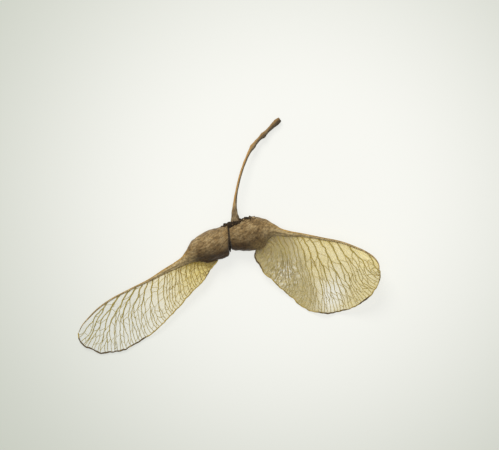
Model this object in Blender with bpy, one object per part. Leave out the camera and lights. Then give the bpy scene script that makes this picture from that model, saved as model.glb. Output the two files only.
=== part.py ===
"""A maple samara as picked: two winged nutlets side by side on their stalk, lying on a surface.

The plan of every piece is drawn in millimetres, x to the right and y towards the stalk, with the origin
on the surface under the seam between the two nutlets. z is the height above the surface.
"""

import math
import random

import bmesh
import bpy
import numpy as np
from mathutils import Vector
from mathutils.geometry import delaunay_2d_cdt

MM = 0.001  # metres in a millimetre

# Driving dimensions, in millimetres
SEAM_X = 0.15  # from the seam's middle to each nutlet's flat face
SEAM_BLEND = 4.0  # along the spine, over which a nutlet's stations turn from the seam's plane to square
BLADE_HALF = 0.3  # half the thickness of a wing's blade
VEIN_RISE = 0.16  # of a vein's crest above the blade, on each face
VEIN_HALF = 0.27  # half the width of a vein's foot
MARGIN_STEP = 1.05  # between points along a wing's free edge
VEIN_STEP = 1.15  # between points along a vein
VEIN_START = 0.15  # from the leading edge's foot to where a vein starts
MARGIN_CLEAR = 0.45  # where a vein stops short of the free edge
LEADING_FOOT = 0.25  # from the leading edge's thick body to the line that veins start on
FILL_STEP = 1.5  # between the extra points in wide cells of the net
BLADE_WIDTH = 11  # of a wing at its widest, over which its waves grow
WAVE_FROM, WAVE_FULL = 8, 16  # along the wing, where its waves start and reach full size
FOLD_FROM, FOLD_FULL = 1.5, 6.5  # across the wing, where its fold starts and reaches full size
SHARP_EDGE = math.radians(50)

# How veins run. Shares are of a vein's way from the leading edge to the free edge, unless a line says more.
VEIN_REACH = (0.42, 0.30)  # how long a vein keeps its first and its last direction
JOINED_TRUNKS = 0.5  # the share of neighbouring trunks that are one at the root
LOW_FORK, HIGH_FORK = (0.14, 0.36), (0.42, 0.80)  # where trunks and then branches part
FORK_OPENS = 0.33  # over which the two sides of a fork draw apart
TIP_JITTER = 0.18  # of a vein's end along the free edge, as a share of the step between ends
LINK_FROM, LINK_TO = 0.15, 0.88  # the stretch of the veins that links join
LINK_SLANT = 0.08  # how much further along its second vein a link may end
LINK_LENGTHS = (0.8, 2.3)  # the least and the greatest length of a link, in millimetres
LINK_APART = 1.1  # the least distance between two links, in millimetres

# A samara's spine runs from the seam through the nutlet and on inside the wing's thick leading edge.
# Each station is (x, y, half width, half thickness).
LEFT_SPINE = [
    (-SEAM_X, -1.25, 3.50, 2.20),
    (-2.27, -2.00, 3.50, 2.65),
    (-4.47, -2.68, 3.30, 2.75),
    (-6.67, -3.40, 2.70, 2.30),
    (-8.43, -4.50, 1.60, 1.60),
    (-9.97, -5.65, 0.85, 1.05),
    (-11.5, -6.55, 0.62, 0.80),
    (-14.15, -8.10, 0.52, 0.66),
    (-17.45, -10.2, 0.44, 0.58),
    (-21.85, -12.4, 0.38, 0.52),
    (-26.25, -14.7, 0.34, 0.47),
    (-29.0, -16.65, 0.31, 0.44),
    (-30.9, -18.5, 0.29, 0.41),
    (-32.45, -20.3, 0.27, 0.38),
    (-33.2, -21.8, 0.26, 0.36),
]
RIGHT_SPINE = [
    (SEAM_X, -0.64, 2.90, 2.20),
    (2.35, -0.26, 3.35, 2.65),
    (4.55, 0.07, 3.70, 2.75),
    (6.53, 0.60, 3.40, 2.50),
    (8.07, 0.95, 2.40, 1.95),
    (9.40, 0.95, 1.50, 1.40),
    (10.93, 0.55, 0.90, 1.05),
    (12.9, 0.09, 0.72, 0.85),
    (16.2, -0.42, 0.60, 0.70),
    (20.4, -1.17, 0.48, 0.60),
    (24.35, -1.90, 0.42, 0.55),
    (27.4, -2.93, 0.36, 0.50),
    (29.95, -4.07, 0.31, 0.46),
    (31.6, -5.20, 0.28, 0.42),
    (32.45, -6.42, 0.26, 0.39),
    (32.67, -7.85, 0.26, 0.36),
]

# The wing's free edge, from its tip back to the corner where it meets the nutlet.
LEFT_MARGIN = [
    (-33.07, -23.5),
    (-31.97, -24.8),
    (-30.2, -25.45),
    (-28.67, -26.2),
    (-26.25, -26.0),
    (-23.6, -25.56),
    (-21.2, -24.46),
    (-18.55, -22.9),
    (-15.7, -20.7),
    (-12.6, -17.65),
    (-9.75, -14.45),
    (-8.0, -12.5),
    (-6.2, -10.6),
    (-4.7, -8.73),
    (-3.6, -7.2),
]
RIGHT_MARGIN = [
    (32.93, -9.17),
    (32.6, -10.7),
    (31.8, -12.03),
    (31.1, -13.1),
    (29.2, -14.9),
    (26.55, -16.4),
    (22.6, -17.4),
    (19.5, -17.1),
    (16.2, -16.0),
    (14.0, -14.3),
    (11.8, -12.15),
    (8.95, -9.6),
    (7.6, -8.4),
    (6.5, -6.7),
    (5.6, -5.1),
]

# The stalk's centreline from the nutlets to the end where it broke off the twig: (x, y, z, radius).
STALK = [
    (1.38, 3.06, 2.52, 0.98),
    (1.24, 3.60, 2.57, 0.84),
    (1.16, 4.40, 2.65, 0.58),
    (1.17, 5.30, 2.75, 0.43),
    (1.25, 6.90, 2.85, 0.35),
    (1.47, 8.65, 2.85, 0.31),
    (1.90, 10.85, 2.75, 0.30),
    (2.40, 12.8, 2.60, 0.30),
    (3.10, 15.0, 2.35, 0.31),
    (3.90, 17.0, 2.05, 0.33),
    (4.65, 18.5, 1.80, 0.42),
    (5.15, 19.3, 1.65, 0.56),
    (5.90, 20.3, 1.48, 0.46),
    (6.90, 21.35, 1.25, 0.49),
    (7.35, 21.75, 1.17, 0.64),
    (7.90, 22.3, 1.07, 0.50),
    (9.20, 23.6, 0.85, 0.52),
    (10.0, 24.4, 0.75, 0.66),
    (10.55, 24.9, 0.70, 0.70),
    (11.15, 25.45, 0.66, 0.50),
]
STALK_SIDES = 12
STALK_STEP = 0.62  # between rings along the stalk

NUTLET_LINES = (-1, -0.9, -0.68, -0.4, -0.14, 0.14, 0.4, 0.68, 0.9, 1)
EDGE_LINES = (-1, -0.55, 0.55, 1)
NUTLET_LEAST = 0.8  # half width above which a station has the nutlet's lines

# Each half's roots say at which share of the leading edge the vein to a share of the free edge begins, and
# its leaves say at how many degrees to the leading edge it sets out.
LEFT = {
    "name": "left_samara",
    "spine": LEFT_SPINE,
    "margin": LEFT_MARGIN,
    "corner": 3.6,  # along the spine, where the free edge meets the nutlet
    "side": 1,  # the wing's blade lies to the left of the way along the spine
    "tips": 44,  # veins that reach the free edge
    "links": 150,  # short veins between neighbours
    "seed": 11,
    "axis": (-0.849, -0.528),
    "rise": [(0, 2.5), (10, 2.5), (20, 2.15), (30, 1.5), (41, 0.95)],
    "fall": [(0, 0.0), (8, 0.02), (18, 0.11), (28, 0.13), (41, 0.10)],
    "wave": (0.22, 0.62, 0.4),
    "fold": None,
    "roots": [(0, 0), (0.28, 0.25), (0.5, 0.45), (0.71, 0.56), (0.82, 0.61), (0.91, 0.69), (0.97, 0.76)],
    "leaves": [(0, 75), (0.3, 63), (0.5, 45), (0.7, 28), (0.85, 20), (1, 14)],
}
RIGHT = {
    "name": "right_samara",
    "spine": RIGHT_SPINE,
    "margin": RIGHT_MARGIN,
    "corner": 5.0,
    "side": -1,
    "tips": 44,
    "links": 150,
    "seed": 23,
    "axis": (0.975, -0.223),
    "rise": [(0, 2.5), (8, 2.55), (14, 3.1), (20, 4.0), (26, 5.0), (34, 6.6)],
    "fall": [(0, 0.0), (5, 0.04), (10, 0.15), (18, 0.29), (26, 0.41), (34, 0.41)],
    "wave": (0.25, 0.55, 2.1),
    "fold": (15.6, 0.30, 1.9, 0.7),
    "roots": [(0, 0), (0.2, 0.14), (0.4, 0.28), (0.6, 0.42), (0.8, 0.57), (0.9, 0.67), (0.97, 0.76)],
    "leaves": [(0, 80), (0.4, 70), (0.6, 55), (0.8, 42), (0.95, 32), (1, 20)],
}


def smooth_line(points, step):
    """Points about step apart on a smooth curve through the given ones. Every column is carried along."""
    p = np.array(points, float)
    chord = np.r_[0, np.cumsum(np.linalg.norm(np.diff(p[:, :2], axis=0), axis=1))]
    slope = np.gradient(p, chord, axis=0)
    count = max(2, round(chord[-1] / step))
    at = np.linspace(0, chord[-1], count + 1)
    k = np.clip(np.searchsorted(chord, at, side="right") - 1, 0, len(p) - 2)
    span = (chord[k + 1] - chord[k])[:, None]
    t = ((at - chord[k])[:, None]) / span
    return (
        (2 * t**3 - 3 * t**2 + 1) * p[k]
        + (t**3 - 2 * t**2 + t) * span * slope[k]
        + (-2 * t**3 + 3 * t**2) * p[k + 1]
        + (t**3 - t**2) * span * slope[k + 1]
    )


def lengths(line):
    """The distance along a line of each of its points."""
    return np.r_[0, np.cumsum(np.linalg.norm(np.diff(line[:, :2], axis=0), axis=1))]


def at_length(line, where):
    """Points of a line at these distances along it."""
    along = lengths(line)
    return np.stack([np.interp(where, along, line[:, c]) for c in range(line.shape[1])], axis=-1)


def ease(x):
    """A smooth step from 0 to 1."""
    x = np.clip(x, 0, 1)
    return x * x * (3 - 2 * x)


def spine_frame(spec, step):
    """(stations, unit normals towards the blade) along the spine. At the seam the normal lies in the seam."""
    line = smooth_line(spec["spine"], step)
    way = np.gradient(line[:, :2], axis=0)
    way /= np.linalg.norm(way, axis=1)[:, None]
    normal = np.stack([-way[:, 1], way[:, 0]], axis=1) * spec["side"]
    seam = np.array([0.0, -1.0])
    share = ease(lengths(line) / SEAM_BLEND)[:, None]
    normal = seam * (1 - share) + normal * share
    return line, normal / np.linalg.norm(normal, axis=1)[:, None]


def body_share(spec, points):
    """For each point, (how far it lies across the spine from -1 to 1, the spine's half thickness there)."""
    line, _ = spine_frame(spec, 0.2)
    apart = np.linalg.norm(points[:, None, :] - line[None, :, :2], axis=2) / line[None, :, 2]
    nearest = apart.argmin(axis=1)
    return apart[np.arange(len(points)), nearest], line[nearest, 3]


def middle_height(spec, points):
    """The height of the samara's middle layer: how it rises, falls towards its free edge, waves and folds."""
    ahead = np.array(spec["axis"])
    across = np.array([-ahead[1], ahead[0]]) * spec["side"]
    start = np.array(spec["spine"][0][:2])
    a = (points - start) @ ahead
    c = np.clip((points - start) @ across, 0, None)
    rise = smooth_line(spec["rise"], 0.5)
    fall = smooth_line(spec["fall"], 0.5)
    z = np.interp(a, rise[:, 0], rise[:, 1]) - np.interp(a, fall[:, 0], fall[:, 1]) * c
    size, turn, start_turn = spec["wave"]
    grown = (c / BLADE_WIDTH) ** 2 * ease((a - WAVE_FROM) / (WAVE_FULL - WAVE_FROM))
    z += size * np.sin(turn * a + start_turn) * grown
    if spec["fold"]:
        fold_x, lean, width, height = spec["fold"]
        off = (points[:, 0] - fold_x + points[:, 1] * lean) / width
        z += height * np.exp(-(off**2)) * ease((c - FOLD_FROM) / (FOLD_FULL - FOLD_FROM))
    return z


def half_thickness(spec, points, across=None):
    """Half the thickness of the body, before its veins: an oval nutlet and edge on a flat blade."""
    share, thick = body_share(spec, points)
    if across is not None:
        known = ~np.isnan(across)
        share = np.where(known, np.abs(across), share)
    oval = thick * np.sqrt(np.clip(1 - share**2, 0, None))
    return (oval**4 + BLADE_HALF**4) ** 0.25


def flow_line(spec, costa, margin, mu):
    """The curve that a vein at share mu of the free edge would follow: it leaves along the leading edge and
    bends over until it meets the free edge squarely."""
    roots, leaves = np.array(spec["roots"]), np.array(spec["leaves"])
    last_mu, last_root = roots[-1]
    share = np.interp(mu, roots[:, 0], roots[:, 1]) + (1 - last_root) * ease((mu - last_mu) / (1 - last_mu))
    root = lengths(costa)[-1] * share
    start, ahead = at_length(costa, np.array([root, root + 1.0]))
    tangent = (ahead - start) / np.linalg.norm(ahead - start)
    inward = np.array([-tangent[1], tangent[0]]) * spec["side"]
    angle = math.radians(np.interp(mu, leaves[:, 0], leaves[:, 1]))
    leave = tangent * math.cos(angle) + inward * math.sin(angle)
    foot = lengths(margin)[-1] * mu
    before, end, after = at_length(margin, np.array([foot - 0.8, foot, foot + 0.8]))[:, :2]
    edge = (after - before) / np.linalg.norm(after - before)
    outward = np.array([-edge[1], edge[0]]) * spec["side"]
    reach = np.linalg.norm(end - start)
    return start, start + leave * reach * VEIN_REACH[0], end - outward * reach * VEIN_REACH[1], end


def on_curve(curve, v):
    """The point at share v along a cubic curve."""
    a, b, c, d = curve
    w = 1 - v
    return w**3 * a + 3 * w * w * v * b + 3 * w * v * v * c + v**3 * d


def vein_paths(spec, costa, margin):
    """Lines of the vein net: trunks off the leading edge that fork twice on the way to the free edge, with
    short links between neighbours."""
    draw = random.Random(spec["seed"])
    tips = spec["tips"]
    edge_at = [(i + 0.5 + draw.uniform(-TIP_JITTER, TIP_JITTER)) / tips for i in range(tips)]
    pairs = [edge_at[i : i + 2] for i in range(0, tips, 2)]
    forks = []
    for k in range(0, len(pairs), 2):
        group = pairs[k : k + 2]
        centres = [sum(pair) / len(pair) for pair in group]
        joined = draw.random() < JOINED_TRUNKS
        low = draw.uniform(*LOW_FORK)
        for pair, branch in zip(group, centres):
            trunk = sum(centres) / len(centres) if joined else branch
            forks.append((trunk, low if joined else 0.0, branch, draw.uniform(*HIGH_FORK), pair))

    def place(fork, tip, v):
        trunk, low, branch, high, _ = fork
        mu = trunk + (branch - trunk) * ease(np.array((v - low) / FORK_OPENS))
        mu += (tip - branch) * ease(np.array((v - high) / FORK_OPENS))
        return on_curve(flow_line(spec, costa, margin, float(mu)), v)

    def run(fork, tip, first, last):
        curve = flow_line(spec, costa, margin, tip)
        long = np.linalg.norm(curve[3] - curve[0]) * (last - first)
        count = max(1, round(long / VEIN_STEP))
        return [place(fork, tip, first + (last - first) * i / count) for i in range(count + 1)]

    lines, drawn = [], set()
    for fork in forks:
        trunk, low, branch, high, pair = fork
        curve = flow_line(spec, costa, margin, branch)
        share = 1 / np.linalg.norm(curve[3] - curve[0])
        first, last = VEIN_START * share, 1 - MARGIN_CLEAR * share
        if low > first and trunk not in drawn:
            lines.append(run(fork, branch, first, low))
            drawn.add(trunk)
        if high > max(low, first) + 0.05 and high < last - 0.05:
            lines.append(run(fork, branch, max(low, first), high))
            lines += [run(fork, tip, high, last) for tip in pair]
    whole = [(fork, tip) for fork in forks for tip in fork[4]]
    middles = []
    for _ in range(spec["links"]):
        i = draw.randrange(len(whole) - 1)
        v = draw.uniform(LINK_FROM, LINK_TO)
        one = place(*whole[i], v)
        two = place(*whole[i + 1], v + draw.uniform(-LINK_SLANT, LINK_SLANT))
        middle = (one + two) / 2
        apart = min([np.linalg.norm(middle - other) for other in middles], default=math.inf)
        if LINK_LENGTHS[0] < np.linalg.norm(two - one) < LINK_LENGTHS[1] and apart > LINK_APART:
            middles.append(middle)
            lines.append([one, middle, two])
    return lines


def distance_to(points, lines):
    """How far each point lies from the nearest of these lines."""
    best = np.full(len(points), 1e9)
    for line in lines:
        for a, b in zip(line[:-1], line[1:]):
            a, b = np.array(a, float), np.array(b, float)
            d = b - a
            t = np.clip(((points - a) @ d) / max(d @ d, 1e-9), 0, 1)
            best = np.minimum(best, np.linalg.norm(points - (a + t[:, None] * d), axis=1))
    return best


class Plan:
    """The points and lines that the triangles of one face have to keep."""

    def __init__(self):
        self.points, self.edges = [], []

    def add(self, point):
        self.points.append((float(point[0]), float(point[1])))
        return len(self.points) - 1

    def line(self, points):
        index = [self.add(p) for p in points]
        self.edges += list(zip(index[:-1], index[1:]))
        return index


def outline_and_body(spec, plan):
    """Adds a samara's outline and the lines along its nutlet and leading edge. Returns the outline, the line
    where the blade leaves the body, and the free edge from the nutlet's corner to the tip."""
    line, normal = spine_frame(spec, 1.25)
    along = lengths(line)
    corner = int(np.argmin(np.abs(along - spec["corner"])))
    nutlet_end = int(np.argmax(line[:, 2] < NUTLET_LEAST))
    station = [line[i, :2] for i in range(len(line))]

    def beside(i, share):
        return station[i] + normal[i] * line[i, 2] * share

    back = [beside(i, -1) for i in range(len(line))]
    belly = [beside(i, 1) for i in range(corner + 1)]
    free = smooth_line([back[-1], *spec["margin"], belly[-1]], MARGIN_STEP)
    seam = [beside(0, share) for share in reversed(NUTLET_LINES[1:-1])]
    outline = [*back, *free[1:-1], *reversed(belly), *seam]
    first = plan.line(outline)
    plan.edges.append((first[-1], first[0]))
    rows = [(share, 0, nutlet_end) for share in NUTLET_LINES[1:-1]]
    rows += [(share, nutlet_end, len(line) - 2) for share in EDGE_LINES[1:-1]]
    for share, low, high in rows:
        plan.line([beside(i, share) for i in range(max(1, low), high + 1)])
    foot = [beside(i, 1) for i in range(corner + 1, len(line) - 1)]
    plan.line(foot)
    costa = np.array([beside(i, 1) + normal[i] * LEADING_FOOT for i in range(corner, len(line))])
    return np.array(outline), costa, free[::-1]


def add_veins(spec, plan, outline, costa, margin):
    """Adds the crest and the two feet of each vein, and returns the crests."""
    rim = [[*outline, outline[0]]]
    crests = []
    for path in vein_paths(spec, costa, margin):
        path = np.array(path)
        keep = (distance_to(path, rim) > 0.3) & (body_share(spec, path)[0] > 1.12)
        path = path[keep]
        if len(path) < 2:
            continue
        crests.append(path)
        plan.line(path)
        way = np.gradient(path, axis=0)
        way /= np.linalg.norm(way, axis=1)[:, None]
        aside = np.stack([-way[:, 1], way[:, 0]], axis=1) * VEIN_HALF
        for foot in (path + aside, path - aside):
            clear = (distance_to(foot, rim) > 0.12) & (body_share(spec, foot)[0] > 1.04)
            runs = np.split(np.arange(len(foot)), np.flatnonzero(~clear))
            for run in runs:
                run = run[clear[run]]
                if len(run) > 1:
                    plan.line(foot[run])
    return crests


def add_blade_fill(spec, plan, outline, crests):
    """A few points in the widest cells of the net, so that the blade's wave shows there."""
    across, along = (np.arange(outline[:, k].min(), outline[:, k].max(), FILL_STEP) for k in range(2))
    grid = np.stack(np.meshgrid(across, along), -1).reshape(-1, 2)
    rim = [[*outline, outline[0]]]
    free = (distance_to(grid, rim) > 0.6) & (distance_to(grid, crests) > 0.62)
    free &= body_share(spec, grid)[0] > 1.3
    for point in grid[free]:
        plan.add(point)


def triangles(plan, outline):
    """The plan's points and triangles, inside the outline only."""
    points = [Vector(p) for p in plan.points]
    out, _, faces, _, _, _ = delaunay_2d_cdt(points, plan.edges, [list(range(len(outline)))], 1, 0.02)
    flat = np.array([[p.x, p.y] for p in out])
    tri = []
    for face in faces:
        for k in range(1, len(face) - 1):
            tri.append((face[0], face[k], face[k + 1]))
    tri = np.array(tri)
    a, b, c = (flat[tri[:, k]] for k in range(3))
    turn = (b[:, 0] - a[:, 0]) * (c[:, 1] - a[:, 1]) - (b[:, 1] - a[:, 1]) * (c[:, 0] - a[:, 0])
    tri[turn < 0] = tri[turn < 0][:, ::-1]
    return flat, tri


def rim_edges(tri):
    """The directed edges that only one triangle has."""
    ends = np.concatenate([tri[:, [0, 1]], tri[:, [1, 2]], tri[:, [2, 0]]])
    known = {tuple(e) for e in ends.tolist()}
    return [e for e in known if (e[1], e[0]) not in known]


def mesh_object(name, vertices, faces, material):
    """An object of these vertices, in millimetres, with smooth shading except over sharp edges."""
    mesh = bpy.data.meshes.new(name)
    mesh.from_pydata([tuple(float(x) * MM for x in v) for v in vertices], [], faces)
    built = bmesh.new()
    built.from_mesh(mesh)
    bmesh.ops.recalc_face_normals(built, faces=built.faces)
    built.to_mesh(mesh)
    built.free()
    mesh.shade_smooth()
    mesh.set_sharp_from_angle(angle=SHARP_EDGE)
    mesh.materials.append(material)
    made = bpy.data.objects.new(name, mesh)
    bpy.context.scene.collection.objects.link(made)
    return made


def samara(spec, material):
    """One half of the fruit: its nutlet, and the wing with its net of raised veins, as one closed body."""
    plan = Plan()
    outline, costa, margin = outline_and_body(spec, plan)
    crests = add_veins(spec, plan, outline, costa, margin)
    add_blade_fill(spec, plan, outline, crests)
    flat, tri = triangles(plan, outline)
    seam_x = spec["spine"][0][0]
    on_seam = np.abs(flat[:, 0] - seam_x) < 1e-4
    seam_share = (flat[:, 1] - spec["spine"][0][1]) / spec["spine"][0][2]
    half = half_thickness(spec, flat, np.where(on_seam, seam_share, np.nan))
    half += VEIN_RISE * np.clip(1 - distance_to(flat, crests) / VEIN_HALF, 0, 1)
    middle = middle_height(spec, flat)
    top, bottom = middle + half, np.maximum(middle - half, 0.0)
    count = len(flat)
    vertices = [(*p, z) for p, z in zip(flat, top)] + [(*p, z) for p, z in zip(flat, bottom)]
    faces = [tuple(t) for t in tri.tolist()]
    faces += [(c + count, b + count, a + count) for a, b, c in tri.tolist()]
    for a, b in rim_edges(tri):
        faces += [(b, a, a + count), (b, a + count, b + count)]
    return mesh_object(spec["name"], vertices, faces, material)


def stalk(material):
    """The stalk: flared where it holds the nutlets, knotted where bracts fell and where it broke off."""
    line = smooth_line(STALK, STALK_STEP)
    way = np.gradient(line[:, :3], axis=0)
    way /= np.linalg.norm(way, axis=1)[:, None]
    vertices, faces = [], []
    for centre, ahead in zip(line, way):
        side = np.cross(ahead, (0, 0, 1))
        side /= np.linalg.norm(side)
        up = np.cross(side, ahead)
        for k in range(STALK_SIDES):
            turn = 2 * math.pi * (k + 0.5) / STALK_SIDES
            spot = centre[:3] + (side * math.cos(turn) + up * math.sin(turn)) * centre[3]
            vertices.append((spot[0], spot[1], max(spot[2], 0.0)))
    for i in range(len(line) - 1):
        for k in range(STALK_SIDES):
            a, b = i * STALK_SIDES + k, i * STALK_SIDES + (k + 1) % STALK_SIDES
            faces.append((a, b, b + STALK_SIDES, a + STALK_SIDES))
    last = (len(line) - 1) * STALK_SIDES
    faces.append(tuple(reversed(range(STALK_SIDES))))
    faces.append(tuple(range(last, last + STALK_SIDES)))
    return mesh_object("stalk", vertices, faces, material)


def finish(name, colour, roughness):
    """A plain material of the part's colour."""
    made = bpy.data.materials.new(name)
    made.use_nodes = True
    shader = made.node_tree.nodes["Principled BSDF"]
    shader.inputs["Base Color"].default_value = (*colour, 1)
    shader.inputs["Roughness"].default_value = roughness
    shader.inputs["Metallic"].default_value = 0
    return made


def main():
    for old in list(bpy.data.objects):
        bpy.data.objects.remove(old)
    samara(LEFT, finish("dry_wing_left", (0.56, 0.50, 0.30), 0.6))
    samara(RIGHT, finish("dry_wing_right", (0.52, 0.45, 0.26), 0.6))
    stalk(finish("stalk_bark", (0.20, 0.15, 0.09), 0.7))


main()
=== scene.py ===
"""The looks of a dry double maple samara, laid on a pale floor and seen from straight above.

Plans and heights are in millimetres, as in the part: x to the right, y towards the stalk, z up from the
floor, with the origin on the floor under the seam between the two nutlets. Meshes are made in metres.
"""

import math
import random

import bpy
import numpy as np
from bpy.props import FloatProperty, FloatVectorProperty, IntProperty, PointerProperty
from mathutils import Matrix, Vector, kdtree, noise


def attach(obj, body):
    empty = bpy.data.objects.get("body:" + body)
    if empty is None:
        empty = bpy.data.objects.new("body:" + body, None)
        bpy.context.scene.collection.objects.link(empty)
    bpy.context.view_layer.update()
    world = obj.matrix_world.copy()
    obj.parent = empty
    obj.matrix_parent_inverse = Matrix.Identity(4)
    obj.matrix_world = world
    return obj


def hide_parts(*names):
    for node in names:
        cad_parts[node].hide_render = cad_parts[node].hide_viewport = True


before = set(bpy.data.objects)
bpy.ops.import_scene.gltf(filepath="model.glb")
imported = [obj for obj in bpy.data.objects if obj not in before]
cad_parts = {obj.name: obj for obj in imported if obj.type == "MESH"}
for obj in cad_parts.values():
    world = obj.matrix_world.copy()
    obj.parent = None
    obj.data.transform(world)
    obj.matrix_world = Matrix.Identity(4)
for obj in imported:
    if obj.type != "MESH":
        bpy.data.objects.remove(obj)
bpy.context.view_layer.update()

bl_info = {
    "name": "Maple Samara",
    "version": (1, 0, 0),
    "blender": (4, 5, 0),
    "location": "View3D > Sidebar > Samara",
    "description": "Builds a dry double maple samara with veined wings, and a pale stage under it",
    "category": "Add Mesh",
}

MM = 0.001  # metres in a millimetre

# The frame that the picture is composed for
PICTURE_WIDTH, PICTURE_HEIGHT = 499, 450
MM_PER_PIXEL = 0.22
SEAM_PIXEL = (229.3, 234.3)  # where the origin lies in the picture

# A samara's spine runs from the seam through the nutlet and on inside the wing's thick leading edge.
# Each station is (x, y, half width, half thickness).
SEAM_X = 0.05  # from the seam's middle to each nutlet's end
LEFT_SPINE = [
    (-SEAM_X, -1.22, 3.50, 2.20),
    (-2.27, -2.00, 3.50, 2.65),
    (-4.47, -2.68, 3.30, 2.75),
    (-6.67, -3.40, 2.70, 2.30),
    (-8.43, -4.50, 1.60, 1.60),
    (-9.97, -5.65, 0.85, 1.05),
    (-11.5, -6.55, 0.62, 0.80),
    (-14.15, -8.10, 0.52, 0.66),
    (-17.45, -10.2, 0.44, 0.54),
    (-21.85, -12.4, 0.38, 0.44),
    (-26.25, -14.7, 0.33, 0.36),
    (-29.0, -16.65, 0.28, 0.30),
    (-30.9, -18.5, 0.24, 0.26),
    (-32.45, -20.3, 0.21, 0.22),
    (-33.2, -21.8, 0.18, 0.18),
]
RIGHT_SPINE = [
    (SEAM_X, -0.66, 2.88, 2.20),
    (2.35, -0.26, 3.35, 2.65),
    (4.55, 0.07, 3.70, 2.75),
    (6.53, 0.60, 3.40, 2.50),
    (8.07, 0.95, 2.40, 1.95),
    (9.40, 0.95, 1.50, 1.40),
    (10.93, 0.55, 0.90, 1.05),
    (12.9, 0.09, 0.72, 0.85),
    (16.2, -0.42, 0.60, 0.70),
    (20.4, -1.17, 0.48, 0.56),
    (24.35, -1.90, 0.40, 0.46),
    (27.4, -2.93, 0.34, 0.38),
    (29.95, -4.07, 0.28, 0.30),
    (31.6, -5.20, 0.23, 0.25),
    (32.45, -6.42, 0.20, 0.21),
    (32.67, -7.85, 0.18, 0.18),
]

# The wing's free edge, from its tip back to the corner where it meets the nutlet.
LEFT_MARGIN = [
    (-33.07, -23.5),
    (-31.97, -24.8),
    (-30.2, -25.45),
    (-28.67, -26.2),
    (-26.25, -26.0),
    (-23.6, -25.56),
    (-21.2, -24.46),
    (-18.55, -22.9),
    (-15.7, -20.7),
    (-12.6, -17.65),
    (-9.75, -14.45),
    (-8.0, -12.5),
    (-6.2, -10.6),
    (-4.7, -8.73),
    (-3.6, -7.2),
]
RIGHT_MARGIN = [
    (32.93, -9.17),
    (32.6, -10.7),
    (31.8, -12.03),
    (31.1, -13.1),
    (29.2, -14.9),
    (26.55, -16.4),
    (22.6, -17.4),
    (19.5, -17.1),
    (16.2, -16.0),
    (14.0, -14.3),
    (11.8, -12.15),
    (8.95, -9.6),
    (7.6, -8.4),
    (6.5, -6.7),
    (5.6, -5.1),
]

# How each half is built. Lengths are in millimetres, and a list of pairs is a table to read between.
# node: the CAD node that it replaces
# spine, margin, corner: its lines, and how far along the spine the free edge meets the nutlet
# side, seed: 1 left of the seam and -1 right of it, and the seed of its frills, veins and wrinkles
# axis, tone_axis: the wing's long way, and the way along which its film changes
# rise, fall: (distance, height) of its middle layer along the axis, and (distance, slope) across it
# wave, fold: (height, turn per mm, start) of its waves, and (x, lean, half width, height) of a soft fold
# roots: (share of the free edge, share of the leading edge) at which a vein ends and begins
# leaves: (share of the free edge, angle in degrees) at which a vein leaves the leading edge
# bunches: (share of the free edge, how many vein ends one trunk feeds)
# dense, tone, khaki: how opaque, grey and khaki the film is, by the distance out in WING_LENGTHs
# patches: (x, y, half width, half length, turn, amount) of clearer film
# crinkle: (x, y, half width, half length) of a crinkled belly, with painted glints and painted shade
# withered: (x, y, radius) where the free edge has withered
# husk_fades: how far the husk's brown, with painted shade under the nutlet, runs into the film
# foot: how much of the film's tone the nutlet's foot takes
# belly_ends, edge_fades: (where, over) along the spine, as the painted belly shade and the edge's taper run
# out
# edge_slims: (least share of the width, where, over) along the spine, as the leading edge slims
# tip_ends: shares of the free edge at which further veins end
LEFT = {
    "name": "left",
    "node": "left_samara",
    "spine": LEFT_SPINE,
    "margin": LEFT_MARGIN,
    "corner": 3.6,
    "side": 1,
    "seed": 11,
    "axis": (-0.849, -0.528),
    "rise": [(0, 2.5), (10, 2.5), (20, 2.15), (30, 1.5), (41, 0.95)],
    "fall": [(0, 0.0), (8, 0.02), (18, 0.11), (28, 0.13), (41, 0.10)],
    "wave": (0.22, 0.62, 0.4),
    "fold": None,
    "roots": [(0, 0), (0.28, 0.25), (0.5, 0.45), (0.71, 0.56), (0.82, 0.61), (0.91, 0.69), (0.97, 0.76)],
    "leaves": [(0, 75), (0.3, 63), (0.5, 45), (0.7, 28), (0.85, 20), (1, 14)],
    "dense": [(0.1, 0.90), (0.3, 0.68), (0.42, 0.42), (0.55, 0.17), (0.8, 0.05), (1.1, 0.03)],
    "tone": [(0.1, 0.0), (0.35, 0.16), (0.6, 0.62), (0.85, 1.0)],
    "khaki": [(0.1, 0.3), (0.22, 0.0)],
    "bunches": [(0.0, 1.2), (0.35, 1.6), (0.55, 4.2), (0.85, 5.5), (1.0, 3.0)],
    "patches": [],
    "crinkle": None,
    "withered": [(-26.0, -25.9, 5.0), (-32.3, -24.6, 2.6), (-20.5, -24.0, 2.5)],
    "tone_axis": (-0.849, -0.528),
    "husk_fades": 1.1,
    "foot": 0.0,
    "belly_ends": (7.5, 4.5),
    "tip_ends": (),
    "edge_slims": (0.42, 10, 14),
    "edge_fades": (12, 12),
}
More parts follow.
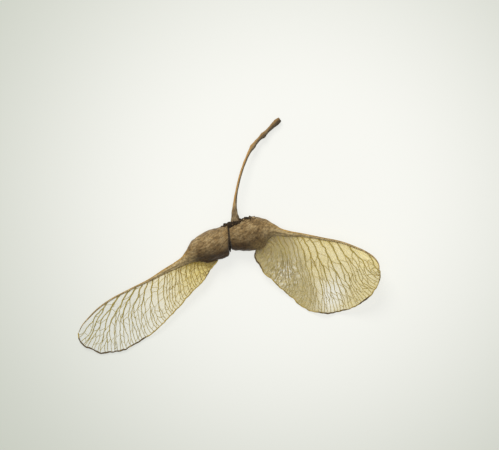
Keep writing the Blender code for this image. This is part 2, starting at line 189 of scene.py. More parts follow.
RIGHT = {
    "name": "right",
    "node": "right_samara",
    "spine": RIGHT_SPINE,
    "margin": RIGHT_MARGIN,
    "corner": 5.0,
    "side": -1,
    "seed": 23,
    "axis": (0.975, -0.223),
    "rise": [(0, 2.5), (8, 2.55), (14, 3.1), (20, 4.0), (26, 5.0), (34, 6.6)],
    "fall": [(0, 0.0), (5, 0.04), (10, 0.15), (18, 0.29), (26, 0.41), (34, 0.41)],
    "wave": (0.25, 0.55, 2.1),
    "fold": (15.6, 0.30, 1.9, 0.7),
    "roots": [(0, 0), (0.2, 0.14), (0.4, 0.28), (0.6, 0.42), (0.8, 0.57), (0.9, 0.67), (0.97, 0.76)],
    "leaves": [(0, 80), (0.4, 70), (0.6, 55), (0.8, 42), (0.95, 32), (1, 20)],
    "dense": [(0.1, 0.97), (0.32, 0.90), (0.39, 0.70), (0.6, 0.68), (1.0, 0.64)],
    "tone": [(0.1, 0.05), (0.35, 0.25), (0.6, 0.44), (0.9, 0.36)],
    "khaki": [(0.1, 1.0), (0.33, 1.0), (0.40, 0.30), (0.6, 0.12), (1.0, 0.1)],
    "bunches": [(0.0, 1.4), (0.3, 2.2), (0.6, 4.0), (0.9, 4.5), (1.0, 3.0)],
    "patches": [
        (22.5, -13.5, 3.0, 4.4, -0.36, 0.56),
        (12.4, -8.8, 2.4, 3.2, -0.30, 0.20),
    ],
    "crinkle": (12.0, -8.7, 3.6, 3.7),
    "withered": [(6.2, -6.0, 2.6), (22.5, -17.2, 3.0), (30.0, -14.2, 2.2)],
    "tone_axis": (1.0, 0.41),
    "husk_fades": 4.0,
    "foot": 0.85,
    "belly_ends": (6.0, 2.8),
    "tip_ends": (0.972, 0.980, 0.987, 0.994),
    "edge_slims": (0.50, 7, 11),
    "edge_fades": (9, 11),
}
SEAM_BLEND = 4.0  # along the spine, over which its sections turn from the seam's plane to square
BLADE_WIDTH = 11  # across it, where its waves have the height that is given
WAVE_FROM, WAVE_FULL = 8, 16  # along the axis
FOLD_FROM, FOLD_FULL = 1.5, 6.5  # across it
FRILLS = ((0.9, 0.16), (2.6, 0.22))  # length of the free edge's frills, and how far they go in and out
WANDERS = ((1.1, 0.24), (3.7, 0.42))  # length of a vein's wander, and how far it goes aside
CRINKLE = (0.60, 1.50)  # between crinkles of a wing's belly, across and along its veins
CRINKLE_HIGH = 0.50
WING_LENGTH = 40  # along its axis, over which its colours change
LIP = 0.6  # along the spine, over which a nutlet rounds off towards the seam
LIP_RINGS = (0.0, 0.03, 0.08, 0.15, 0.24, 0.35, 0.5, 0.68)  # sections there, closer together
TAPER = 0.38  # how far the leading edge thins out into the blade
RIBS, RIB_HIGH = 9, 0.05  # fine ribs round the leading edge
RINGS_FROM, RING_STEP = 0.88, 0.2  # the other sections along the spine
NUTLET_ENDS = (8.0, 4.0)  # (where, over) along the spine, as the husk's wrinkles give way to ribs
SPINE_STEP, MARGIN_STEP, STALK_STEP = 0.2, 0.15, 0.11  # between points of these lines

# The stalk's centreline from the nutlets to the end where it broke off the twig: (x, y, z, radius).
STALK = [
    (1.45, 2.30, 2.50, 1.10),
    (1.35, 3.00, 2.52, 0.98),
    (1.24, 3.60, 2.57, 0.84),
    (1.16, 4.40, 2.65, 0.70),
    (1.17, 5.30, 2.75, 0.56),
    (1.25, 6.90, 2.85, 0.40),
    (1.47, 8.65, 2.85, 0.31),
    (1.90, 10.85, 2.75, 0.28),
    (2.40, 12.8, 2.60, 0.28),
    (3.10, 15.0, 2.35, 0.29),
    (3.90, 17.0, 2.05, 0.31),
    (4.65, 18.5, 1.80, 0.40),
    (5.15, 19.3, 1.65, 0.56),
    (5.90, 20.3, 1.48, 0.44),
    (6.90, 21.35, 1.25, 0.46),
    (7.35, 21.75, 1.17, 0.62),
    (7.90, 22.3, 1.07, 0.48),
    (9.20, 23.6, 0.85, 0.50),
    (10.0, 24.4, 0.75, 0.62),
    (10.55, 24.9, 0.70, 0.66),
    (11.10, 25.4, 0.66, 0.50),
]

# How veins run. Shares are of a vein's way from the leading edge to the free edge.
VEIN_REACH = (0.42, 0.30)  # how long a vein keeps its first and its last direction
FORK_AFTER = (0.45, 1.30)  # over the number of ends still to be fed, as a share of the way that is left
FORK_OPENS = 0.22  # over which the arms of a fork draw apart
EVEN_FORKS = 0.35  # the share of forks that part their ends evenly, where others send off one side vein
TIP_JITTER = 0.30  # of a vein's end along the free edge, as a share of the step between ends
VEIN_STEP = 0.22  # between points along a vein, in millimetres
VEIN_END = 0.985  # where a vein stops, at the rim
FULL_TRUNK = 6  # ends that a trunk of the full width feeds
FIRST_LINK, LAST_LINK = (0.05, 0.16), 0.93  # where the links between two ways begin and end
LINK_APART = (0.09, 0.24)
LINK_LONG = (0.5, 2.6)  # in millimetres
LINK_THIN = (0.46, 0.58, 0.74)  # of a fine vein's width
SHEET_ROWS, SHEET_COLUMNS = 330, 74  # points of a membrane, along the wing and along its veins
SAGS_FULLY = 0.45  # how far from a vein the membrane sags in full, in millimetres
VEIN_TINTS = 0.3  # how far a vein's colour runs into the membrane, in millimetres
WANDER_SEED = 14  # of the veins' and flakes' wander, which Blender would draw anew in each session

# Withered flakes round the stalk's foot: (half, how many, how far along its spine, from which turn of its
# skin, to which), in millimetres and degrees
FLAKES = ((RIGHT, 130, 6.8, 142, 180), (LEFT, 14, 1.3, 160, 178))
FLAKE_SIZE = (0.14, 0.36)  # in millimetres, before they are stretched
STANDING_FLAKES = 0.35  # the share of them that stand up
PAINTED_LIGHT_SIDE = (-0.80, 0.45, 0.40)  # the way that the stalk's side with painted light faces

# The stage, in metres. Softboxes are (name, place, width, power, colour), and look at the origin.
FLOOR_SIZE = 6
FLOOR_REFLECTS = 0.25  # of its own colour
# The floor's painted glow: its centre, the distances from it over which it fades, and its strength
GLOW_CENTRE = (0.0140, 0.0080, 0)
GLOW_FADES = (0.018, 0.097)  # from the centre
GLOW_STRENGTH = 0.72
SOFTBOXES = (
    ("key_softbox", (-0.22, 0.56, 0.62), 0.45, 4.9, "#FFFDF6"),
    ("top_softbox", (0.0, -0.05, 0.95), 0.60, 2.8, "#FBFDFF"),
)
AIR_COLOUR, AIR_STRENGTH = "#F4F6F2", 0.30
LENS, SENSOR = 135.0, 36.0  # in millimetres
PICTURE_LEVEL = 0.0025  # the height at which MM_PER_PIXEL holds


def smooth_line(points, step):
    """Points about step apart on a smooth curve through the given ones. Every column is carried along."""
    p = np.array(points, float)
    chord = np.r_[0, np.cumsum(np.linalg.norm(np.diff(p[:, :2], axis=0), axis=1))]
    slope = np.gradient(p, chord, axis=0)
    count = max(2, round(chord[-1] / step))
    at = np.linspace(0, chord[-1], count + 1)
    k = np.clip(np.searchsorted(chord, at, side="right") - 1, 0, len(p) - 2)
    span = (chord[k + 1] - chord[k])[:, None]
    t = ((at - chord[k])[:, None]) / span
    return (
        (2 * t**3 - 3 * t**2 + 1) * p[k]
        + (t**3 - 2 * t**2 + t) * span * slope[k]
        + (-2 * t**3 + 3 * t**2) * p[k + 1]
        + (t**3 - t**2) * span * slope[k + 1]
    )


def lengths(line):
    """The distance along a line of each of its points."""
    return np.r_[0, np.cumsum(np.linalg.norm(np.diff(line[:, :2], axis=0), axis=1))]


def at_length(line, where):
    """Points of a line at these distances along it."""
    along = lengths(line)
    return np.stack([np.interp(where, along, line[:, c]) for c in range(line.shape[1])], axis=-1)


def ease(x):
    """A smooth step from 0 to 1."""
    x = np.clip(x, 0, 1)
    return x * x * (3 - 2 * x)


def opening(x):
    """A step from 0 to 1 that starts at once and ends gently, as a fork's arms part."""
    x = np.clip(x, 0, 1)
    return x * (2 - x)


def unit(v):
    """Rows of v at length 1."""
    return v / np.maximum(np.linalg.norm(v, axis=-1, keepdims=True), 1e-9)


def ripple(points, seed, waves):
    """A smooth wander from -1 to 1 over the plan: the mean of waves of these lengths, in millimetres."""
    draw = random.Random(seed)
    total = np.zeros(points.shape[:-1])
    for length in waves:
        turn = draw.uniform(0, 2 * math.pi)
        way = np.array([math.cos(turn), math.sin(turn)]) * 2 * math.pi / length
        total += np.sin(points[..., :2] @ way + draw.uniform(0, 2 * math.pi))
    return total / len(waves)


class Half:
    """One winged half of the fruit: the lines that its nutlet, blade and veins are built on."""

    def __init__(self, spec):
        self.spec = spec
        self.name, self.side = spec["name"], spec["side"]
        line = smooth_line(spec["spine"], SPINE_STEP)
        way = unit(np.gradient(line[:, :2], axis=0))
        normal = np.stack([-way[:, 1], way[:, 0]], axis=1) * self.side
        share = ease(lengths(line) / SEAM_BLEND)[:, None]
        self.line = line
        self.normal = unit(np.array([0.0, -1.0]) * (1 - share) + normal * share)
        along = lengths(line)
        corner = int(np.argmin(np.abs(along - spec["corner"])))
        least, slims, over = spec["edge_slims"]
        slim = 1 - (1 - least) * ease((along - slims) / over)
        self.width = line[:, 2] * slim
        self.centre = line[:, :2] - self.normal * (line[:, 2] - self.width)[:, None]
        foot = self.centre + self.normal * self.width[:, None]
        self.foot = foot[corner:]
        back_end = self.centre[-1] - self.normal[-1] * self.width[-1]
        margin = smooth_line([back_end, *spec["margin"], foot[corner]], MARGIN_STEP)[::-1]
        out = unit(np.gradient(margin, axis=0))
        out = np.stack([-out[:, 1], out[:, 0]], axis=1) * self.side
        fade = ease(lengths(margin) / 3) * ease((lengths(margin)[-1] - lengths(margin)) / 3)
        spots = [Vector((x, y, spec["seed"])) for x, y in margin]
        frill = np.array([sum(noise.noise(spot / long) * high for long, high in FRILLS) for spot in spots])
        self.margin = margin + out * (frill * fade)[:, None]

    def height(self, points):
        """The height of the middle layer: how it rises, falls towards its free edge, waves and folds."""
        spec = self.spec
        ahead = np.array(spec["axis"])
        across = np.array([-ahead[1], ahead[0]]) * self.side
        a = (points[..., :2] - self.line[0, :2]) @ ahead
        c = np.clip((points[..., :2] - self.line[0, :2]) @ across, 0, None)
        rise = smooth_line(spec["rise"], 0.5)
        fall = smooth_line(spec["fall"], 0.5)
        z = np.interp(a, rise[:, 0], rise[:, 1]) - np.interp(a, fall[:, 0], fall[:, 1]) * c
        size, turn, start = spec["wave"]
        grown = (c / BLADE_WIDTH) ** 2 * ease((a - WAVE_FROM) / (WAVE_FULL - WAVE_FROM))
        z += size * np.sin(turn * a + start) * grown
        if spec["fold"]:
            fold_x, lean, width, high = spec["fold"]
            off = (points[..., 0] - fold_x + points[..., 1] * lean) / width
            z += high * np.exp(-(off**2)) * ease((c - FOLD_FROM) / (FOLD_FULL - FOLD_FROM))
        if spec["crinkle"]:
            spots = [Vector((x / CRINKLE[0], y / CRINKLE[1], 7)) for x, y in points[..., :2].reshape(-1, 2)]
            crumpled = np.array([noise.noise(spot) for spot in spots]).reshape(z.shape)
            z += CRINKLE_HIGH * crumpled * self.crinkle(points)
        return z

    def outward(self, points, axis="axis"):
        """How far out along an axis each point lies, from 0 at the seam to about 1 at the wing's tip."""
        return ((points[..., :2] - self.line[0, :2]) @ np.array(self.spec[axis])) / WING_LENGTH

    def patches(self, points):
        """How much clearer than its surroundings the membrane is at each point."""
        total = np.zeros(points.shape[:-1])
        for x, y, wide, long, turn, amount in self.spec["patches"]:
            off = points[..., :2] - (x, y)
            a = off[..., 0] * math.cos(turn) + off[..., 1] * math.sin(turn)
            b = off[..., 1] * math.cos(turn) - off[..., 0] * math.sin(turn)
            total += amount * np.exp(-((a / wide) ** 2) - (b / long) ** 2)
        return total

    def khaki(self, points):
        """How thick and opaque the membrane is at each point, from 0 to 1."""
        table = np.interp(self.outward(points, "tone_axis"), *zip(*self.spec["khaki"]))
        return table * (1 - 1.2 * np.clip(self.patches(points), 0, 1))

    def crinkle(self, points):
        """How crinkled and glossy the membrane is at each point, from 0 to 1."""
        if not self.spec["crinkle"]:
            return np.zeros(points.shape[:-1])
        x, y, wide, long = self.spec["crinkle"]
        return np.exp(-(((points[..., 0] - x) / wide) ** 2) - ((points[..., 1] - y) / long) ** 2)

    def root_share(self, mu):
        """The share of the leading edge at which the vein that ends at share mu of the free edge begins."""
        table = np.array(self.spec["roots"])
        last = table[-1, 0]
        return np.interp(mu, table[:, 0], table[:, 1]) + (1 - table[-1, 1]) * ease((mu - last) / (1 - last))

    def flow(self, mu, v):
        """The point at share v of the vein line that ends at share mu of the free edge."""
        mu, v = np.broadcast_arrays(np.asarray(mu, float), np.asarray(v, float))
        root = lengths(self.foot)[-1] * self.root_share(mu)
        start = at_length(self.foot, root)
        tangent = unit(at_length(self.foot, root + 0.5) - at_length(self.foot, root - 0.5))
        inward = np.stack([-tangent[..., 1], tangent[..., 0]], axis=-1) * self.side
        leaves = smooth_line(self.spec["leaves"], 0.02)
        angle = np.radians(np.interp(mu, leaves[:, 0], leaves[:, 1]))[..., None]
        leave = tangent * np.cos(angle) + inward * np.sin(angle)
        edge_at = lengths(self.margin)[-1] * mu
        end = at_length(self.margin, edge_at)
        edge = unit(at_length(self.margin, edge_at + 1.2) - at_length(self.margin, edge_at - 1.2))
        out = np.stack([-edge[..., 1], edge[..., 0]], axis=-1) * self.side
        reach = np.linalg.norm(end - start, axis=-1, keepdims=True)
        b, c = start + leave * reach * VEIN_REACH[0], end - out * reach * VEIN_REACH[1]
        v, w = v[..., None], 1 - v[..., None]
        return w**3 * start + 3 * w * w * v * b + 3 * w * v * v * c + v**3 * end

    def stray(self, points, v):
        """The points moved a little aside, as real veins wander. Their ends on the free edge stay put."""
        fade = (1 - np.asarray(v) ** 8)[..., None]
        seed = self.spec["seed"]
        spots = [Vector((x, y, seed)) for x, y in points]
        near, far = (
            np.array([noise.noise_vector(spot / long)[:2] for spot in spots]) * aside
            for long, aside in WANDERS
        )
        return points + (near + far) * fade


def vein_tree(half, tips):
    """The veins as (shares mu, shares v, number of ends that it feeds) lines, and each end's whole way as
    (shares v, shares mu). A trunk sends off side veins one after another on its way out."""
    draw = random.Random(half.spec["seed"])
    edge_at = [(i + 0.5 + draw.uniform(-TIP_JITTER, TIP_JITTER)) / tips for i in range(tips)]
    edge_at = sorted([*edge_at, *half.spec["tip_ends"]])
    lines, ways = [], []

    def grow(ends, mu, first, way):
        last = VEIN_END
        if len(ends) > 1:
            last = first + (1 - first) * draw.uniform(*FORK_AFTER) / len(ends)
        v = np.linspace(first, last, 40)
        share = mu + (sum(ends) / len(ends) - mu) * opening((v - first) / FORK_OPENS)
        lines.append((share, v, len(ends)))
        way = [*way, (v, share)]
        if len(ends) == 1:
            ways.append([np.concatenate(part) for part in zip(*way)])
            return
        cut = len(ends) // 2 if draw.random() < EVEN_FORKS else 1
        for arm in (ends[:cut], ends[cut:]):
            grow(arm, share[-1], last, way)

    while edge_at:
        size = np.interp(edge_at[0], *zip(*half.spec["bunches"])) + draw.uniform(-0.8, 0.8)
        bunch, edge_at = edge_at[: max(1, round(size))], edge_at[max(1, round(size)) :]
        grow(bunch, sum(bunch) / len(bunch), 0.0, [])
    return lines, ways


def select_only(piece):
    """Makes this piece the only selected one, and the active one."""
    bpy.ops.object.select_all(action="DESELECT")
    piece.select_set(True)
    bpy.context.view_layer.objects.active = piece


def finish_piece(piece, name, material, node):
    """Names a piece, gives it its material, turns its faces outwards and lets it ride and replace a node."""
    piece.name = piece.data.name = name
    piece.data.materials.clear()
    piece.data.materials.append(material)
    select_only(piece)
    bpy.ops.object.mode_set(mode="EDIT")
    bpy.ops.mesh.select_all(action="SELECT")
    bpy.ops.mesh.normals_make_consistent(inside=False)
    bpy.ops.object.mode_set(mode="OBJECT")
    bpy.ops.object.shade_smooth()
    bpy.ops.object.transform_apply(location=True, rotation=True, scale=True)
    piece.select_set(False)
    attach(piece, "root")
    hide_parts(node)


def quad_sheet(points, uv, values, rolled=False, thickness=0.0):
    """A grid of quads whose points are moved to these places, in millimetres. A rolled one becomes a closed
    tube: its first and last columns are merged and its ends filled. A thickness makes it a solid sheet."""
    rows, columns = points.shape[:2]
    bpy.ops.object.select_all(action="DESELECT")
    bpy.ops.mesh.primitive_grid_add(x_subdivisions=columns - 1, y_subdivisions=rows - 1, size=1)
    piece = bpy.context.object
    mesh = piece.data
    if len(mesh.vertices) != rows * columns:
        raise RuntimeError("the grid has another number of points than its piece needs")
    mesh.vertices.foreach_set("co", (points.reshape(-1, 3) * MM).astype(np.float32).ravel())
    corner = np.empty(len(mesh.loops), np.int32)
    mesh.loops.foreach_get("vertex_index", corner)
    layer = mesh.uv_layers[0]
    layer.name = "surface_mm"
    layer.data.foreach_set("uv", uv.reshape(-1, 2).astype(np.float32)[corner].ravel())
    for key, value in values.items():
        store(mesh, key, value)
    if rolled:
        bpy.ops.object.mode_set(mode="EDIT")
        bpy.ops.mesh.select_all(action="SELECT")
        bpy.ops.mesh.remove_doubles(threshold=1e-7)
        bpy.ops.mesh.select_all(action="SELECT")
        bpy.ops.mesh.fill_holes(sides=0)
        bpy.ops.object.mode_set(mode="OBJECT")
    if thickness:
        solid = piece.modifiers.new("thickness", "SOLIDIFY")
        solid.thickness = thickness
        solid.offset = 0
        bpy.ops.object.modifier_apply(modifier=solid.name)
    return piece


def strands(lines, sides_step):
    """Round strands along these lines of points and radii, in millimetres, as one mesh with closed ends."""
    curve = bpy.data.curves.new("strands", "CURVE")
    curve.dimensions = "3D"
    curve.bevel_depth = MM
    curve.bevel_resolution = sides_step
    curve.use_fill_caps = True
    for points, radii in lines:
        spline = curve.splines.new("POLY")
        spline.points.add(len(points) - 1)
        spline.points.foreach_set("co", np.c_[points * MM, np.ones(len(points))].ravel())
        spline.points.foreach_set("radius", radii)
    piece = bpy.data.objects.new("strands", curve)
    bpy.context.scene.collection.objects.link(piece)
    select_only(piece)
    bpy.ops.object.convert(target="MESH")
    return bpy.context.object


def crumple(piece, fineness, depth):
    """Fixes the place of the selected piece in its mesh, and pushes its points about by noise."""
    bpy.ops.object.transform_apply(location=True, rotation=True, scale=True)
    for vertex in piece.data.vertices:
        vertex.co += noise.noise_vector(vertex.co / MM * fineness) * depth


def store(mesh, name, values):
    """Keeps one value for each point of a mesh, for its material to read."""
    mesh.attributes.new(name, "FLOAT", "POINT").data.foreach_set("value", values.astype(np.float32).ravel())


def linear(hex_colour):
    """An sRGB hex colour as linear red, green and blue."""
    parts = [int(hex_colour[k : k + 2], 16) / 255 for k in (1, 3, 5)]
    return tuple(c / 12.92 if c <= 0.04045 else ((c + 0.055) / 1.055) ** 2.4 for c in parts)


def node(tree, kind, inputs=(), out=0, stops=(), **settings):
    """Adds a node with its settings, sets or links its inputs, and gives back one of its outputs. Inputs go
    by their order, or by their names or numbers where some are left alone."""
    made = tree.nodes.new("ShaderNode" + kind)
    for key, value in settings.items():
        setattr(made, key, value)
    for key, value in inputs.items() if isinstance(inputs, dict) else enumerate(inputs):
        socket = made.inputs[key]
        if isinstance(value, bpy.types.NodeSocket):
            tree.links.new(value, socket)
        elif socket.type == "RGBA":
            socket.default_value = (*value[:3], 1)
        else:
            socket.default_value = value
    for index, (place, colour) in enumerate(stops):
        points = made.color_ramp.elements
        point = points[index] if index < len(points) else points.new(place)
        point.position = place
        point.color = (*colour[:3], 1)
    return made.outputs[out] if made.outputs else None


# Settings that many nodes share: a mix of colours (share 0, colours 6 and 7), a smooth step from one range
# to another, and a mapping that is given the size of what it places, in millimetres.
COLOURS = {"data_type": "RGBA", "out": 2}
SMOOTH = {"interpolation_type": "SMOOTHSTEP"}
SIZED = {"vector_type": "TEXTURE"}


def new_material(name):
    """An empty node material, its tree, and the place on the object that its patterns keep to."""
    made = bpy.data.materials.new(name)
    made.use_nodes = True
    made.node_tree.nodes.clear()
    return made, made.node_tree, node(made.node_tree, "TexCoord", out="Object")


def husk_material(colours):
    """Dry husk of a nutlet and of the wing's thick leading edge: matt woody tissue, downy and blotched on
    the nutlet, with painted shade on its side towards the blade, streaked with straw and ochre fibres along
    the edge."""
    made, tree, spot = new_material("dry_samara_husk")
    surface = node(tree, "UVMap", uv_map="surface_mm")
    along, belly, foot, back = (
        node(tree, "Attribute", attribute_name=name, out="Fac")
        for name in ("along", "belly", "foot", "back")
    )
    # Blotches of 2.4 mm and specks of 0.5 mm
    blotch = node(tree, "TexNoise", {"Vector": spot, "Scale": 1 / (2.4 * MM), "Detail": 4, "Roughness": 0.6})
    grain = node(tree, "TexNoise", {"Vector": spot, "Scale": 1 / (0.5 * MM), "Detail": 3, "Roughness": 0.7})
    # Bundles of fibres, slanting on the nutlet and lengthways on the edge. They are coarser than real
    # fibres, which would be too fine to show.
    slanting = {"Vector": surface, "Rotation": (0, 0, 0.52), "Scale": (1.5, 0.36, 1)}
    slanting = node(tree, "Mapping", slanting, **SIZED)
    fibres = node(tree, "TexNoise", {"Vector": slanting, "Scale": 1, "Detail": 4, "Roughness": 0.66})
    lengthways = node(tree, "Mapping", {"Vector": surface, "Scale": (2.0, 0.40, 1)}, **SIZED)
    edge_fibres = node(tree, "TexNoise", {"Vector": lengthways, "Scale": 1, "Detail": 3, "Roughness": 0.6})
    # The leading edge, with its back in another tone
    stops = [(0.30, colours.edge_dark), (0.52, colours.edge_mid), (0.72, colours.edge_light)]
    edge = node(tree, "ValToRGB", (edge_fibres,), stops=stops)
    edge = node(tree, "Mix", {0: back, 6: edge, 7: colours.edge_rim}, **COLOURS)
    # The nutlet, with painted shade on its belly whose limit wavers, and a foot that takes the film's tone
    mottle = node(tree, "Mix", {0: 0.52, 2: blotch, 3: fibres})
    stops = [(0.36, colours.nutlet_dark), (0.48, colours.nutlet_mid), (0.59, colours.nutlet_light)]
    colour = node(tree, "ValToRGB", (mottle,), stops=stops)
    wavering = node(tree, "Math", (blotch, 0.34, belly), operation="MULTIPLY_ADD")
    stops = [(place, (grey,) * 3) for place, grey in ((0.30, 0), (0.72, 0.42), (1.0, 0.9))]
    shade = node(tree, "ValToRGB", (wavering,), stops=stops)
    to_edge = node(tree, "MapRange", (along, 7.0, 13.0, 0, 1), **SMOOTH)
    # Painted shade in the seam between the nutlets
    seam = node(tree, "MapRange", (along, 0.04, 0.26, 0.92, 0), **SMOOTH)
    for share, other in (
        (shade, colours.nutlet_belly_shade),
        (foot, colours.film_foot_and_shade),
        (to_edge, edge),
        (seam, colours.withered_dark_and_seam_shade),
    ):
        colour = node(tree, "Mix", {0: share, 6: colour, 7: other}, **COLOURS)
    stops = [(place, (grey,) * 3) for place, grey in ((0.36, 0.42), (0.52, 0.95), (0.7, 1.3))]
    speck = node(tree, "ValToRGB", (grain,), stops=stops)
    colour = node(tree, "Mix", {0: 0.8, 6: colour, 7: speck}, blend_type="MULTIPLY", **COLOURS)
    relief = node(tree, "Mix", {0: 0.4, 2: fibres, 3: grain})
    bump = node(tree, "Bump", {"Height": relief, "Distance": 0.24 * MM, "Strength": 0.9})
    look = {
        "Base Color": colour,
        "Roughness": node(tree, "MapRange", (grain, 0.3, 0.7, 0.6, 0.8)),
        "Normal": bump,
        "Specular IOR Level": 0.2,
        "Sheen Weight": 0.22,
        "Sheen Roughness": 0.45,
    }
    node(tree, "OutputMaterial", {"Surface": node(tree, "BsdfPrincipled", look)})
    return made


def membrane_material(colours):
    """Dry wing membrane: a papery film that light passes through, yellow and denser by the nutlet, grey and
    clearer towards the free edge, with a net of veinlets too fine to stand up from it."""
    made, tree, spot = new_material("papery_wing_membrane")
    surface = node(tree, "UVMap", uv_map="surface_mm")
    tone, khaki, husk_near, dense, vein_near, crinkle = (
        node(tree, "Attribute", attribute_name=name, out="Fac")
        for name in ("tone", "khaki", "husk_near", "dense", "vein_near", "crinkle")
    )
    # Clouds of 2.6 mm, where the film is a little thicker or thinner
    cloud = node(tree, "TexNoise", {"Vector": spot, "Scale": 1 / (2.6 * MM), "Detail": 3, "Roughness": 0.6})
    unevenness = node(tree, "MapRange", (cloud, 0.3, 0.7, -0.06, 0.06))
    # Veinlets round cells of 0.43 by 0.74 mm, coarser than real ones, which would be too fine to show
    along_veins = node(tree, "Mapping", {"Vector": surface, "Scale": (2.3, 1.35, 1)})
    wander = node(tree, "TexNoise", {"Vector": along_veins, "Scale": 1.3, "Detail": 2}, out="Color")
    warped = node(tree, "Mix", {0: 0.18, 4: along_veins, 5: wander}, out=1, data_type="VECTOR")
    cells = node(tree, "TexVoronoi", {"Vector": warped, "Scale": 1}, feature="DISTANCE_TO_EDGE")
    veinlet = node(tree, "MapRange", (cells, 0.03, 0.19, 1, 0), **SMOOTH)
    # Crinkles of 0.3 by 0.85 mm, longer along the veins, with painted glints, pale and clearer, on their
    # ridges and painted shade, brown, in between
    lengthways = node(tree, "Mapping", {"Vector": surface, "Scale": (0.30, 0.85, 1)}, **SIZED)
    creases = node(tree, "TexNoise", {"Vector": lengthways, "Scale": 1, "Detail": 1.5, "Roughness": 0.6})
    painted_glint, painted_crease_shade = (
        node(tree, "MapRange", (creases, *ends), **SMOOTH)
        for ends in ((0.52, 0.64, 0, 0.9), (0.38, 0.50, 0.5, 0))
    )
    painted_glint = node(tree, "Math", (painted_glint, crinkle), operation="MULTIPLY")
    painted_crease_shade = node(tree, "Math", (painted_crease_shade, crinkle), operation="MULTIPLY")
    tone = node(tree, "Math", (tone, unevenness), operation="ADD", use_clamp=True)
    stops = [(0.05, colours.film_base), (0.45, colours.film_middle), (0.95, colours.film_outer)]
    film = node(tree, "ValToRGB", (tone,), stops=stops)
    # Near the nutlet the husk's brown is partly painted shade under it, and the crinkles get painted glints
    # and painted shade.
    for share, other in (
        (khaki, colours.film_khaki),
        (husk_near, colours.film_foot_and_shade),
        (node(tree, "Math", (veinlet, 0.44), operation="MULTIPLY"), colours.vein),
        (node(tree, "Math", (vein_near, 0.2), operation="MULTIPLY"), colours.vein),
        (painted_glint, colours.film_painted_glint),
        (painted_crease_shade, colours.film_foot_and_shade),
    ):
        film = node(tree, "Mix", {0: share, 6: film, 7: other}, **COLOURS)
    cloudy = node(tree, "Math", (dense, unevenness), operation="MULTIPLY")
    dense = node(tree, "Math", (cloudy, 3.0, dense), operation="MULTIPLY_ADD")
    dense = node(tree, "Math", (veinlet, 0.06, dense), operation="MULTIPLY_ADD")
    dense = node(tree, "Math", (vein_near, 0.03, dense), operation="MULTIPLY_ADD", use_clamp=True)
    # The painted glints let more of the bright floor show through.
    dense = node(tree, "Math", (painted_glint, -0.40, dense), operation="MULTIPLY_ADD", use_clamp=True)
    creases = node(tree, "Math", (creases, crinkle), operation="MULTIPLY")
    relief = node(tree, "Math", (cloud, veinlet), operation="ADD")
    relief = node(tree, "Math", (creases, 12.0, relief), operation="MULTIPLY_ADD")
    bump = node(tree, "Bump", {"Height": relief, "Distance": 0.05 * MM, "Strength": 0.8})
    # The crinkled part is glossier, and the khaki part lets less light through.
    rough = node(tree, "MapRange", (crinkle, 0.1, 0.9, 0.45, 0.28))
    look = {"Base Color": film, "Roughness": rough, "Normal": bump, "Specular IOR Level": 0.8}
    lit = node(tree, "BsdfPrincipled", look)
    through = node(tree, "BsdfTranslucent", {"Color": film, "Normal": bump})
    light_passes = node(tree, "MapRange", (khaki, 0, 1, 0.80, 0.35))
    paper = node(tree, "MixShader", (light_passes, lit, through))
    clear = node(tree, "BsdfTransparent", {"Color": colours.film_clear})
    node(tree, "OutputMaterial", {"Surface": node(tree, "MixShader", (dense, clear, paper))})
    return made


def vein_material(colours):
    """Veins of a dry wing: thin ochre fibres that a little light passes through, browner by the nutlet and
    greyer where they end."""
    made, tree, spot = new_material("dry_wing_veins")
    outward = node(tree, "Attribute", attribute_name="outward", out="Fac")
    cloud = node(tree, "TexNoise", {"Vector": spot, "Scale": 1 / (1.8 * MM), "Detail": 3, "Roughness": 0.6})
    unevenness = node(tree, "MapRange", (cloud, 0.3, 0.7, -0.2, 0.2))
    place = node(tree, "Math", (outward, unevenness), operation="ADD", use_clamp=True)
    stops = [(0.15, colours.vein_root), (0.42, colours.vein), (0.95, colours.vein_tip)]
    colour = node(tree, "ValToRGB", (place,), stops=stops)
    grain = node(tree, "TexNoise", {"Vector": spot, "Scale": 1 / (0.15 * MM), "Detail": 2})
    bump = node(tree, "Bump", {"Height": grain, "Distance": 0.03 * MM, "Strength": 0.5})
    look = {"Base Color": colour, "Roughness": 0.55, "Normal": bump, "Specular IOR Level": 0.3}
    lit = node(tree, "BsdfPrincipled", look)
    fibre = node(tree, "MixShader", (0.4, lit, node(tree, "BsdfTranslucent", {"Color": colour})))
    clear = node(tree, "BsdfTransparent", {"Color": colours.film_clear})
    node(tree, "OutputMaterial", {"Surface": node(tree, "MixShader", (0.84, clear, fibre))})
    return made


def rim_material(colours):
    """Dried free edge of a wing: a hard thin welt, ochre in places and dark brown where it has withered."""
    made, tree, spot = new_material("dried_wing_rim")
    dried = node(tree, "Attribute", attribute_name="withered", out="Fac")
    patch = node(tree, "TexNoise", {"Vector": spot, "Scale": 1 / (3.0 * MM), "Detail": 3, "Roughness": 0.6})
    patch = node(tree, "Math", (dried, -0.22, patch), operation="MULTIPLY_ADD")
    colour = node(tree, "ValToRGB", (patch,), stops=[(0.30, colours.rim_dark), (0.50, colours.rim_light)])
    bump = node(tree, "Bump", {"Height": patch, "Distance": 0.05 * MM, "Strength": 0.4})
    look = {"Base Color": colour, "Roughness": 0.55, "Normal": bump, "Specular IOR Level": 0.3}
    node(tree, "OutputMaterial", {"Surface": node(tree, "BsdfPrincipled", look)})
    return made


